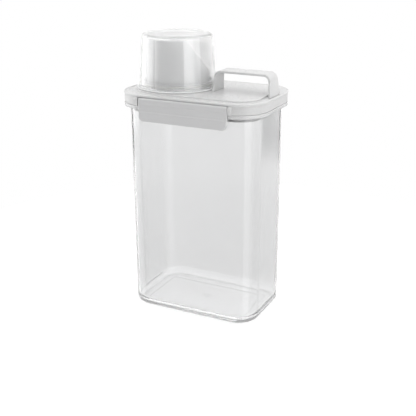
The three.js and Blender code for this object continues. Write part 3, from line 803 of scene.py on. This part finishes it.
def seal_tree():
    """A ring that follows a rounded rectangle, with sealing beads round its outer side."""
    tree, nodes, given = geometry_tree("swept_seal", {
        "Width": "size", "Depth": "size", "Corner Radius": "size", "Level": "size", "Height": "size",
        "Thickness": "size", "Bead": "size", "Bead Count": "count", "Material": "material",
    })
    value = given.outputs
    plan = nodes.add(
        "GeometryNodeCurvePrimitiveQuadrilateral", {"Width": value["Width"], "Height": value["Depth"]},
        mode="RECTANGLE",
    ).outputs[0]
    path = rounded_path(nodes, plan, value["Corner Radius"], CORNER_STEPS)
    raised = nodes.add("GeometryNodeSetPosition", {
        "Geometry": path,
        "Offset": nodes.add("ShaderNodeCombineXYZ", {"Z": value["Level"]}).outputs[0],
    }).outputs[0]
    circle = nodes.add("GeometryNodeCurvePrimitiveCircle", {"Resolution": SEAL_STEPS, "Radius": 1.0}).outputs[0]
    where = nodes.add("ShaderNodeSeparateXYZ", {0: nodes.add("GeometryNodeInputPosition").outputs[0]})
    across, up = where.outputs[0], where.outputs[1]
    side = nodes.math("SIGN", across)
    square = nodes.math("MULTIPLY", side, nodes.math("POWER", nodes.math("ABSOLUTE", across), 0.3))
    half = nodes.math("MULTIPLY", square, nodes.math("MULTIPLY", value["Thickness"], 0.5))
    turns = nodes.math("MULTIPLY", nodes.math("ADD", up, 1.0), math.pi)
    wave = nodes.math("COSINE", nodes.math("MULTIPLY", turns, value["Bead Count"]))
    swell = nodes.math("MULTIPLY", nodes.math("SUBTRACT", 1.0, wave), nodes.math("MULTIPLY", value["Bead"], 0.5))
    outer = nodes.math("MULTIPLY", swell, nodes.math("GREATER_THAN", across, 0.0))
    profile = nodes.add("GeometryNodeSetPosition", {
        "Geometry": circle,
        "Position": nodes.add("ShaderNodeCombineXYZ", {
            "X": nodes.math("ADD", half, outer),
            "Y": nodes.math("MULTIPLY", up, nodes.math("MULTIPLY", value["Height"], 0.5)),
        }).outputs[0],
    }).outputs[0]
    swept = nodes.add("GeometryNodeCurveToMesh", {"Curve": raised, "Profile Curve": profile}).outputs[0]
    close_tree(nodes, swept, value["Material"])
    return tree


class DISPENSER_OT_seals(bpy.types.Operator):
    """Build the lid's gasket and the ring in the cup's seat"""
    bl_idname = "dispenser.seals"
    bl_label = "Seals"

    def execute(self, context):
        settings = context.scene.dispenser
        seals, spout, cup = settings.seals, settings.spout, settings.cup
        tree = seal_tree()
        material = silicone("seal_silicone", seals.colour)
        _, _, half_x, half_y, radii = plug_shape(settings)
        thickness = seals.groove - GAP
        inset = thickness / 2 + GAP / 2
        plug_bottom = settings.container.height - settings.lid.plug_depth
        gasket = grown("lid_gasket_ring", tree, {
            "Width": 2 * (half_x - inset), "Depth": 2 * (half_y - inset), "Corner Radius": radii[0] - inset,
            "Level": plug_bottom + GROOVE_RISE + GAP + seals.height / 2, "Height": seals.height,
            "Thickness": thickness, "Bead": 0.35 * MM, "Bead Count": seals.beads, "Material": material,
        })
        finished(gasket, material, "lid_set", "silicone", "lid_gasket")
        collar_top = settings.container.height + settings.lid.rise + settings.lid.deck_rise + GAP
        collar_top += spout.collar_thickness
        level = collar_top + SEAT_GROOVE_RISE + GAP + seals.cup_height / 2
        radius = spout.seat - inset
        reach = cup.mouth - cup.wall - spout.seat - 0.45 * MM
        band = grown("cup_seal_ring", tree, {
            "Width": 2 * radius, "Depth": 2 * radius, "Corner Radius": radius - 0.01 * MM, "Level": level,
            "Height": seals.cup_height, "Thickness": thickness, "Bead": max(reach, 0.1 * MM), "Bead Count": 1,
            "Material": material,
        })
        axis = cup_axis()
        band.data.transform(Matrix.Translation((axis, 0.0, 0.0)))
        finished(band, material, "lid_set", "silicone", "cup_seal")
        return {"FINISHED"}


# ---------------------------------------------------------------- spout and cup

def spout_body(settings):
    """The pouring tube with its oblique mouth, the cup's seat, the collar and the neck that snaps into the lid."""
    size = settings.spout
    top, under, _ = lid_levels(settings)
    axis = cup_axis()
    collar_low = top + settings.lid.deck_rise + GAP
    collar_top = collar_low + size.collar_thickness
    bore = size.radius - size.wall
    neck_bottom = under - 6.6 * MM
    seat_top = collar_top + size.seat_height
    moat = collar_top + 1.2 * MM
    seat_bore = size.seat - 2.0 * MM
    groove_low = collar_top + SEAT_GROOVE_RISE
    groove_high = groove_low + settings.seals.cup_height + 2 * GAP
    groove = size.seat - settings.seals.groove
    bead = under - GAP
    small, edge = 0.2 * MM, 0.5 * MM
    spacing = 1.5 * MM
    levels = [seat_top + 1 * MM + i * spacing for i in range(int((size.top - seat_top - 2 * MM) / spacing))]
    body = moulded("pouring_spout", [(point_at(axis), [
        (bore, neck_bottom + 20 * MM, 0.0), *[(bore, z, 0.0) for z in levels],
        (bore, size.top, 0.6 * MM), (size.radius, size.top, 0.6 * MM),
        *[(size.radius, z, 0.0) for z in reversed(levels)],
        (size.radius, moat, edge), (seat_bore, moat, edge), (seat_bore, seat_top, edge), (size.seat, seat_top, edge),
        (size.seat, groove_high, small), (groove, groove_high, small),
        (groove, groove_low, small), (size.seat, groove_low, small), (size.seat, collar_top, small),
        (size.collar, collar_top, 0.35 * MM), (size.collar, collar_low, 0.3 * MM), (size.neck, collar_low, small),
        (size.neck, bead, small), (size.neck + 0.7 * MM, bead, small), (size.neck, bead - 1.6 * MM, small),
        (size.neck, neck_bottom, edge), (bore, neck_bottom, edge), (bore, neck_bottom + 19 * MM, 0.0),
    ])], closed=True)
    reach = 4 * size.radius
    tool = block("mouth_cut", (-reach / 2, -reach / 2, 0.0), (reach / 2, reach / 2, reach))
    slope = (
        Matrix.Translation((axis, 0.0, 0.0))
        @ Matrix.Rotation(size.cut_azimuth, 4, "Z")
        @ Matrix.Translation((size.cut_start, 0.0, size.top))
        @ Matrix.Rotation(size.cut_slope, 4, "Y")
    )
    tool.data.transform(slope)
    keep = block("mouth_limit", (-1.0, -1.0, seat_top + 2 * MM), (1.0, 1.0, 1.0))
    combined(tool, keep, "INTERSECT")
    combined(body, tool, "DIFFERENCE")
    split_wide_faces(body)
    return body


def split_wide_faces(piece):
    """Splits the many-sided faces that a cut leaves into triangles."""
    bm = bmesh.new()
    bm.from_mesh(piece.data)
    wide = [face for face in bm.faces if len(face.verts) > 4]
    bmesh.ops.triangulate(bm, faces=wide, quad_method="BEAUTY", ngon_method="BEAUTY")
    bm.to_mesh(piece.data)
    bm.free()


class DISPENSER_OT_spout(bpy.types.Operator):
    """Build the pouring spout"""
    bl_idname = "dispenser.spout"
    bl_label = "Spout"

    def execute(self, context):
        settings = context.scene.dispenser
        material = milky_plastic("spout_plastic", settings.spout.colour)
        finished(spout_body(settings), material, "lid_set", "milky_plastic", "spout")
        return {"FINISHED"}


def cup_body(settings):
    """The tapered cup, upside down, with a rim at its mouth and a rounded shoulder."""
    size, spout = settings.cup, settings.spout
    low = settings.container.height + settings.lid.rise + settings.lid.deck_rise + 2 * GAP + spout.collar_thickness
    high = low + size.height
    closed_end = size.mouth - size.taper
    ceiling = high - size.floor
    rim_top = low + size.rim_height
    rim_radius = size.mouth - size.taper * size.rim_height / size.height
    middle = (low + high) / 2
    outer_middle = size.mouth - size.taper / 2
    return moulded("measuring_cup_shell", [(point_at(cup_axis()), [
        (0.0, ceiling, 0.0), (closed_end - size.wall, ceiling, size.shoulder - size.wall),
        (outer_middle - size.wall, middle, 0.0),
        (size.mouth - size.wall, low, 0.5 * MM), (size.mouth + size.rim, low, 0.5 * MM),
        (size.mouth + size.rim, rim_top, 0.6 * MM), (rim_radius, rim_top, 0.4 * MM),
        (outer_middle, middle, 0.0),
        (closed_end, high, size.shoulder), (0.0, high, 0.0),
    ])])


class DISPENSER_OT_cup(bpy.types.Operator):
    """Build the measuring cup"""
    bl_idname = "dispenser.cup"
    bl_label = "Measuring cup"

    def execute(self, context):
        settings = context.scene.dispenser
        material = clear_plastic("clear_cup_plastic", settings.cup.colour, CUP_SOLID)
        finished(cup_body(settings), material, "cup", "cup_plastic", "measuring_cup")
        return {"FINISHED"}


# ---------------------------------------------------------------- handle

def strap_tree():
    """A flat strap along a bent path, wider towards its feet."""
    tree, nodes, given = geometry_tree("bent_strap", {
        "Left": "size", "Right": "size", "Left Foot": "size", "Right Foot": "size", "Top": "size",
        "Splay": "size", "Bend Radius": "size", "Thickness": "size", "Top Width": "size", "Foot Width": "size",
        "Edge": "size", "Material": "material",
    })
    value = given.outputs
    half = nodes.math("MULTIPLY", value["Thickness"], 0.5)
    left, right = nodes.math("ADD", value["Left"], half), nodes.math("SUBTRACT", value["Right"], half)
    top = nodes.math("SUBTRACT", value["Top"], half)

    def point(x, z):
        return nodes.add("ShaderNodeCombineXYZ", {"X": x, "Z": z}).outputs[0]

    quad = nodes.add("GeometryNodeCurvePrimitiveQuadrilateral", mode="POINTS")
    places = [
        point(left, value["Left Foot"]), point(nodes.math("ADD", left, value["Splay"]), top),
        point(nodes.math("SUBTRACT", right, value["Splay"]), top), point(right, value["Right Foot"]),
    ]
    for i, place in enumerate(places):
        nodes.tree.links.new(place, quad.inputs[f"Point {i + 1}"])
    line = nodes.add("GeometryNodeSetSplineCyclic", {"Geometry": quad.outputs[0], "Cyclic": False}).outputs[0]
    bend = nodes.math("SUBTRACT", value["Bend Radius"], half)
    path = rounded_path(nodes, line, bend, BEND_STEPS)
    plan = nodes.add(
        "GeometryNodeCurvePrimitiveQuadrilateral", {"Width": value["Top Width"], "Height": value["Thickness"]},
        mode="RECTANGLE",
    ).outputs[0]
    swept = nodes.add("GeometryNodeCurveToMesh", {
        "Curve": path, "Profile Curve": rounded_path(nodes, plan, value["Edge"], 5), "Fill Caps": True,
    }).outputs[0]
    where = nodes.add("ShaderNodeSeparateXYZ", {0: nodes.add("GeometryNodeInputPosition").outputs[0]})
    flare = nodes.add("ShaderNodeMapRange", {
        "Value": where.outputs[2], "From Min": value["Right Foot"],
        "From Max": nodes.math("SUBTRACT", value["Top"], value["Bend Radius"]),
        "To Min": nodes.math("DIVIDE", value["Foot Width"], value["Top Width"]), "To Max": 1.0,
    }).outputs["Result"]
    shaped = nodes.add("GeometryNodeSetPosition", {
        "Geometry": swept,
        "Position": nodes.add("ShaderNodeCombineXYZ", {
            "X": where.outputs[0], "Y": nodes.math("MULTIPLY", where.outputs[1], flare), "Z": where.outputs[2],
        }).outputs[0],
    }).outputs[0]
    close_tree(nodes, shaped, value["Material"])
    return tree


class DISPENSER_OT_handle(bpy.types.Operator):
    """Build the bent strap handle with its snap tangs"""
    bl_idname = "dispenser.handle"
    bl_label = "Handle"

    def execute(self, context):
        settings = context.scene.dispenser
        size = settings.handle
        top, under, _ = lid_levels(settings)
        material = white_plastic("handle_plastic", settings.handle.colour)
        deck_top = top + settings.lid.deck_rise
        strap = grown("strap_handle", strap_tree(), {
            "Left": size.left, "Right": size.right, "Left Foot": deck_top + 0.1 * MM,
            "Right Foot": top - settings.lid.rim_step + 0.1 * MM, "Top": size.top, "Splay": size.splay,
            "Bend Radius": size.bend, "Thickness": size.thickness, "Top Width": size.top_width,
            "Foot Width": size.foot_width, "Edge": size.edge, "Material": material,
        })
        half, inset = TANG_HALF, 0.1 * MM
        for i, (low, high) in enumerate(tang_places(size)):
            root = (deck_top if i == 0 else top) + 1.0 * MM
            tang = block("tang", (low + inset, -half, under - 5.2 * MM), (high - inset, half, root))
            combined(strap, tang, "UNION")
            barb = (high - inset - 0.2 * MM, high + 0.8 * MM) if i == 0 else (low - 0.8 * MM, low + inset + 0.2 * MM)
            hook = block("barb", (barb[0], -half, under - 2.5 * MM), (barb[1], half, under - GAP))
            combined(strap, hook, "UNION")
        finished(strap, material, "lid_set", "white_plastic", "handle")
        return {"FINISHED"}


# ---------------------------------------------------------------- latches

def flap_sections(size):
    """Cross-sections of a flap and its hinge barrel, from the lower edge up: (height, front, back, half width)."""
    face, back = -size.face, -(size.face - size.thickness)
    inward = face + size.band_step
    lip = face - size.finger_lip
    step = 0.4 * MM
    front = filleted([
        (lip, size.bottom, 0.0), (face, size.lower_band - step, 0.3 * MM), (inward, size.lower_band + step, 0.3 * MM),
        (inward, size.upper_band - step, 0.3 * MM), (face, size.upper_band + step, 0.3 * MM),
        (face, size.pivot_z, 0.0),
    ], 4)
    rear = filleted([
        (lip + size.thickness, size.bottom, 0.0), (back, size.bottom + 4 * MM, 3 * MM), (back, size.pivot_z, 0.0),
    ], 4)
    tip = 0.75 * MM
    quarter = [math.radians(7.5 * i) for i in range(13)]
    heights = {size.bottom + size.corner * (1 - math.cos(a)) for a in quarter}
    heights |= {size.bottom + tip * (1 - math.cos(a)) for a in quarter}
    heights |= {z for _, z in front} | {z for _, z in rear}
    heights |= {size.pivot_z + size.barrel * math.sin(a) * s for a in quarter for s in (-1, 1)}
    sections = []
    for z in sorted(heights):
        y_front = float(np.interp(z, [p[1] for p in front], [p[0] for p in front]))
        y_back = float(np.interp(z, [p[1] for p in rear], [p[0] for p in rear]))
        off = z - size.pivot_z
        bulge = math.sqrt(max(size.barrel ** 2 - off ** 2, 0.0))
        if abs(off) < size.barrel or z > size.pivot_z:
            y_back = -size.pivot_y + bulge
        if z > size.pivot_z:
            y_front = -size.pivot_y - bulge
        rise = z - size.bottom
        half = size.half
        if rise < size.corner:
            half -= size.corner - math.sqrt(size.corner ** 2 - (size.corner - rise) ** 2)
        if rise < tip:
            inset = tip - math.sqrt(tip ** 2 - (tip - rise) ** 2)
            y_front, y_back = y_front + inset, y_back - inset
        if y_back - y_front > 0.08 * MM and (not sections or z - sections[-1][0] > 0.004 * MM):
            sections.append((z, y_front, y_back, half))
    return sections


def latch_flap(settings):
    """A flap with its bands, hinge barrel, hook, ribs and bore, at the front of the bottle."""
    size = settings.latches
    rings = []
    sections = flap_sections(size)
    for z, front, back, half in sections:
        thickness = max(back - front, 0.0)
        front_radius = min(size.end_edge, 0.85 * thickness)
        back_radius = min(0.15 * MM, 0.1 * thickness)
        plan = rounded_box(
            2 * half, thickness, (back_radius, back_radius, front_radius, front_radius), 0.0, (front + back) / 2
        )
        rings.append(ring(plan, 0.0, z, 10))
    flap = skinned("front_latch_flap", rings, capped=True)
    under = settings.container.height - settings.container.flange - 0.5 * MM
    plate_back = -(size.face - size.thickness)
    root, tip = plate_back - 0.4 * MM, plate_back + 3.4 * MM
    outline = filleted([
        (root, under - 1 * MM, 0.0), (root, under, 0.0), (tip, under, 0.25 * MM), (tip, under - 0.8 * MM, 0.3 * MM),
        (root, under - 3.2 * MM, 0.0),
    ], 3)
    inner = size.half - 3 * MM
    combined(flap, prism("latch_hook", outline, -inner, inner), "UNION")
    ribs = grown("latch_ribs", rib_tree(), {
        "Span": 2 * size.half - 3.4 * MM, "Count": size.ribs, "Rib Width": 1.4 * MM, "Rib Depth": 0.9 * MM,
        "Rib Height": size.pivot_z - size.bottom - size.corner - 2.4 * MM, "Taper": 0.85,
        "Back": plate_back - 0.2 * MM, "Level": (size.pivot_z + size.bottom + size.corner - 1.0 * MM) / 2,
        "Material": None,
    })
    combined(flap, ribs, "UNION")
    far = size.half + 1 * MM
    path = [(0.0, -far), (size.bore, -far), (size.bore, far), (0.0, far)]
    return combined(flap, rod("pin_bore", path, -size.pivot_y, size.pivot_z, 40), "DIFFERENCE")


def rib_tree():
    """A row of upright ribs, narrower at their free edge."""
    tree, nodes, given = geometry_tree("rib_row", {
        "Span": "size", "Count": "count", "Rib Width": "size", "Rib Depth": "size", "Rib Height": "size",
        "Taper": "size", "Back": "size", "Level": "size", "Material": "material",
    })
    value = given.outputs
    size = nodes.add("ShaderNodeCombineXYZ", {
        "X": value["Rib Width"], "Y": value["Rib Depth"], "Z": value["Rib Height"],
    }).outputs[0]
    bar = nodes.add("GeometryNodeMeshCube", {
        "Size": size, "Vertices X": 2, "Vertices Y": 2, "Vertices Z": 2,
    }).outputs[0]
    where = nodes.add("ShaderNodeSeparateXYZ", {0: nodes.add("GeometryNodeInputPosition").outputs[0]})
    free = nodes.math("GREATER_THAN", where.outputs[1], 0.0)
    share = nodes.add("ShaderNodeMapRange", {
        "Value": free, "To Min": 1.0, "To Max": value["Taper"],
    }).outputs["Result"]
    narrowed = nodes.add("GeometryNodeSetPosition", {
        "Geometry": bar,
        "Position": nodes.add("ShaderNodeCombineXYZ", {
            "X": nodes.math("MULTIPLY", where.outputs[0], share), "Y": where.outputs[1],
            "Z": nodes.math("MULTIPLY", where.outputs[2], share),
        }).outputs[0],
    }).outputs[0]
    start = nodes.add("ShaderNodeCombineXYZ", {
        "X": nodes.math("MULTIPLY", value["Span"], -0.5),
        "Y": nodes.math("ADD", value["Back"], nodes.math("MULTIPLY", value["Rib Depth"], 0.5)),
        "Z": value["Level"],
    }).outputs[0]
    pitch = nodes.math("DIVIDE", value["Span"], nodes.math("SUBTRACT", value["Count"], 1.0))
    row = nodes.add("GeometryNodeMeshLine", {
        "Count": value["Count"], "Start Location": start,
        "Offset": nodes.add("ShaderNodeCombineXYZ", {"X": pitch}).outputs[0],
    }, mode="OFFSET").outputs[0]
    placed = nodes.add("GeometryNodeInstanceOnPoints", {"Points": row, "Instance": narrowed}).outputs[0]
    close_tree(nodes, placed, value["Material"])
    return tree


class DISPENSER_OT_latches(bpy.types.Operator):
    """Build the front and rear latches"""
    bl_idname = "dispenser.latches"
    bl_label = "Latches"

    def execute(self, context):
        settings = context.scene.dispenser
        material = milky_plastic("latch_plastic", settings.latches.colour)
        front = latch_flap(settings)
        rear = half_turned(front, "rear_latch_flap")
        finished(front, material, "latch_front", "latch_plastic", "front_latch")
        finished(rear, material, "latch_rear", "latch_plastic", "rear_latch")
        return {"FINISHED"}


class DISPENSER_OT_pins(bpy.types.Operator):
    """Build the two hinge pins"""
    bl_idname = "dispenser.pins"
    bl_label = "Hinge pins"

    def execute(self, context):
        size = context.scene.dispenser.latches
        half = size.half + SIDE_ROOM + PIN_SEAT - GAP
        bevel = 0.25 * MM
        path = [
            (0.0, -half), (size.pin - bevel, -half), (size.pin, -half + bevel), (size.pin, half - bevel),
            (size.pin - bevel, half), (0.0, half),
        ]
        front = rod("front_hinge_pin", path, -size.pivot_y, size.pivot_z)
        rear = half_turned(front, "rear_hinge_pin")
        material = drawn_steel("drawn_pin_steel")
        finished(front, material, "lid_set", "pin_steel", "front_latch_pin")
        finished(rear, material, "lid_set", "pin_steel", "rear_latch_pin")
        return {"FINISHED"}


# ---------------------------------------------------------------- stage

def paper_floor(radius, glow):
    """A round sheet of pale paper, lit a little from inside as a light table is."""
    bm = bmesh.new()
    bmesh.ops.create_circle(bm, cap_ends=True, segments=96, radius=radius)
    floor = mesh_object("studio_floor", bm)
    floor.data.transform(Matrix.Translation((0.0, 0.0, -0.02 * MM)))
    material = bpy.data.materials.new("floor_paper")
    material.use_nodes = True
    nodes = Nodes(material.node_tree)
    place = nodes.add("ShaderNodeTexCoord").outputs["Object"]
    fibre = nodes.noise(place, 300.0, 4.0, 0.6)
    base = nodes.blend(nodes.spread(fibre, 0.0, 1.0), (0.25, 0.25, 0.25, 1.0), (0.22, 0.22, 0.22, 1.0))
    principled = nodes.add("ShaderNodeBsdfPrincipled", {
        "Base Color": base, "Roughness": 0.9, "Specular IOR Level": 0.1,
        "Emission Color": (1.0, 1.0, 1.0, 1.0), "Emission Strength": glow,
    })
    nodes.add("ShaderNodeOutputMaterial", {"Surface": principled.outputs[0]})
    floor.data.materials.append(material)
    floor.visible_glossy = floor.visible_transmission = False
    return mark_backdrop(floor)


def light_ramp(nodes, value, low, high, stops):
    """A grey that follows stops of (value, level), over value from low to high."""
    share = nodes.spread(value, 0.0, 1.0, low, high)
    ramp = nodes.add("ShaderNodeValToRGB", {"Fac": share})
    elements = ramp.color_ramp.elements
    while len(elements) < len(stops):
        elements.new(0.5)
    for element, (place, level) in zip(elements, stops):
        element.position = (place - low) / (high - low)
        element.color = (level, level, level, 1.0)
    return ramp.outputs["Color"]


def studio_world(stage):
    """Soft light all round: dark at the front left, a tall softbox at the front right, bright behind and above.

    Low down, the table takes some of the background's light, and two dark flags stand either side of the background.
    The camera sees plain white behind the bottle. Straight through the clear plastic it sees an even backdrop, and
    only what is reflected or scattered shows the whole studio. Stops are degrees round from +X, or up from level.
    """
    world = bpy.data.worlds.new("studio")
    bpy.context.scene.world = world
    world.use_nodes = True
    nodes = Nodes(world.node_tree)
    way = nodes.add("ShaderNodeTexCoord").outputs["Generated"]
    axes = nodes.add("ShaderNodeSeparateXYZ", {0: way}).outputs
    turn = nodes.math("DEGREES", nodes.math("ARCTAN2", axes[1], axes[0]))
    climb = nodes.math("DEGREES", nodes.math("ARCSINE", axes[2]))
    brightest = max(stage.softbox, stage.right, stage.back, stage.left, stage.overhead)
    walls = light_ramp(nodes, turn, -180, 180, [(degrees, level / brightest) for degrees, level in (
        (-180, stage.left), (-145, stage.left), (-142, stage.dark), (-43, stage.dark), (-41, stage.softbox),
        (-10, stage.softbox), (-8, stage.right), (60, stage.right), (70, stage.back), (158, stage.back),
        (166, stage.left),
    )])
    even = (stage.back / brightest,) * 3 + (1.0,)
    low = nodes.blend(0.35, even, walls)
    table = light_ramp(nodes, climb, -90, 90, (
        (-27, 0.95), (-24.5, stage.table), (-19, stage.table + 0.03), (-15, stage.table + 0.12), (-11, 1.0),
    ))
    light = nodes.product(nodes.blend(nodes.spread(climb, 0.0, 1.0, -15.0, -12.0), low, walls), table)
    ceiling = (stage.overhead / brightest,) * 3 + (1.0,)
    light = nodes.blend(nodes.spread(climb, 0.0, 1.0, 24.0, 38.0), light, ceiling)
    flags = light_ramp(nodes, turn, -180, 180, (
        (65, 1.0), (67, stage.flags), (79, stage.flags), (81, 1.0), (144, 1.0), (146, stage.flags),
        (164, stage.flags), (166, 1.0),
    ))
    flag_height = light_ramp(nodes, climb, -90, 90, ((-17, 0.0), (-15, 1.0), (-12.5, 1.0), (-11.5, 0.0)))
    shade = nodes.blend(flag_height, (1.0, 1.0, 1.0, 1.0), flags)
    light = nodes.product(light, shade)
    backdrop = nodes.product(even, table)
    path = nodes.add("ShaderNodeLightPath").outputs
    turned = nodes.math("ADD", path["Diffuse Depth"], path["Glossy Depth"])
    straight = nodes.math("LESS_THAN", turned, 0.5)
    light = nodes.blend(straight, light, backdrop)
    lit = nodes.add("ShaderNodeBackground", {"Color": light, "Strength": brightest}).outputs[0]
    plain = nodes.add("ShaderNodeBackground", {"Color": (1.0, 1.0, 1.0, 1.0), "Strength": 1.0}).outputs[0]
    mixed = nodes.add("ShaderNodeMixShader", {0: path["Is Camera Ray"], 1: lit, 2: plain}).outputs[0]
    nodes.add("ShaderNodeOutputWorld", {"Surface": mixed})


def studio_camera(stage):
    """A camera at the product's usual viewing angle, a little above and to the right."""
    data = bpy.data.cameras.new("studio_camera")
    data.lens = stage.lens
    data.sensor_width = 36.0
    data.clip_start, data.clip_end = 0.01, 50.0
    camera = bpy.data.objects.new("studio_camera", data)
    bpy.context.scene.collection.objects.link(camera)
    level = math.cos(stage.pitch)
    forward = Vector((
        -math.sin(stage.yaw) * level, math.cos(stage.yaw) * level, -math.sin(stage.pitch),
    ))
    right = Vector((math.cos(stage.yaw), math.sin(stage.yaw), 0.0))
    up = right.cross(forward)
    rolled_right = right * math.cos(stage.roll) + up * math.sin(stage.roll)
    rolled_up = up * math.cos(stage.roll) - right * math.sin(stage.roll)
    turned = Matrix((rolled_right, rolled_up, -forward)).transposed()
    camera.matrix_world = Matrix.Translation(Vector(stage.camera)) @ turned.to_4x4()
    bpy.context.scene.camera = camera


class DISPENSER_OT_stage(bpy.types.Operator):
    """Set up the floor, the light and the camera"""
    bl_idname = "dispenser.stage"
    bl_label = "Stage"

    def execute(self, context):
        stage = context.scene.dispenser.stage
        context.scene.view_settings.view_transform = "Standard"
        paper_floor(stage.floor_radius, stage.floor_glow)
        studio_world(stage)
        studio_camera(stage)
        return {"FINISHED"}


# ---------------------------------------------------------------- panel and registration

OPERATORS = (
    DISPENSER_OT_container, DISPENSER_OT_lid, DISPENSER_OT_seals, DISPENSER_OT_spout, DISPENSER_OT_cup,
    DISPENSER_OT_handle, DISPENSER_OT_latches, DISPENSER_OT_pins, DISPENSER_OT_stage,
)
SETTINGS = (
    ContainerSettings, LidSettings, SealSettings, SpoutSettings, CupSettings, HandleSettings, LatchSettings,
    StageSettings, DispenserSettings,
)


class DISPENSER_PT_panel(bpy.types.Panel):
    """The dispenser's pieces, sizes and colours"""
    bl_idname = "DISPENSER_PT_panel"
    bl_label = "Dispenser bottle"
    bl_space_type = "VIEW_3D"
    bl_region_type = "UI"
    bl_category = "Dispenser"

    def draw(self, context):
        for operator in OPERATORS:
            self.layout.operator(operator.bl_idname)
        settings = context.scene.dispenser
        for group in settings.bl_rna.properties:
            if group.type != "POINTER":
                continue
            values = getattr(settings, group.identifier)
            column = self.layout.box().column()
            column.label(text=group.name)
            for value in values.bl_rna.properties:
                if value.identifier not in ("rna_type", "name"):
                    column.prop(values, value.identifier)


def register():
    for item in (*SETTINGS, *OPERATORS, DISPENSER_PT_panel):
        bpy.utils.register_class(item)
    bpy.types.Scene.dispenser = PointerProperty(type=DispenserSettings)


def unregister():
    del bpy.types.Scene.dispenser
    for item in reversed((*SETTINGS, *OPERATORS, DISPENSER_PT_panel)):
        bpy.utils.unregister_class(item)


def main():
    register()
    bpy.ops.dispenser.container()
    bpy.ops.dispenser.lid()
    bpy.ops.dispenser.seals()
    bpy.ops.dispenser.spout()
    bpy.ops.dispenser.cup()
    bpy.ops.dispenser.handle()
    bpy.ops.dispenser.latches()
    bpy.ops.dispenser.pins()
    bpy.ops.dispenser.stage()


if __name__ == "__main__":
    main()
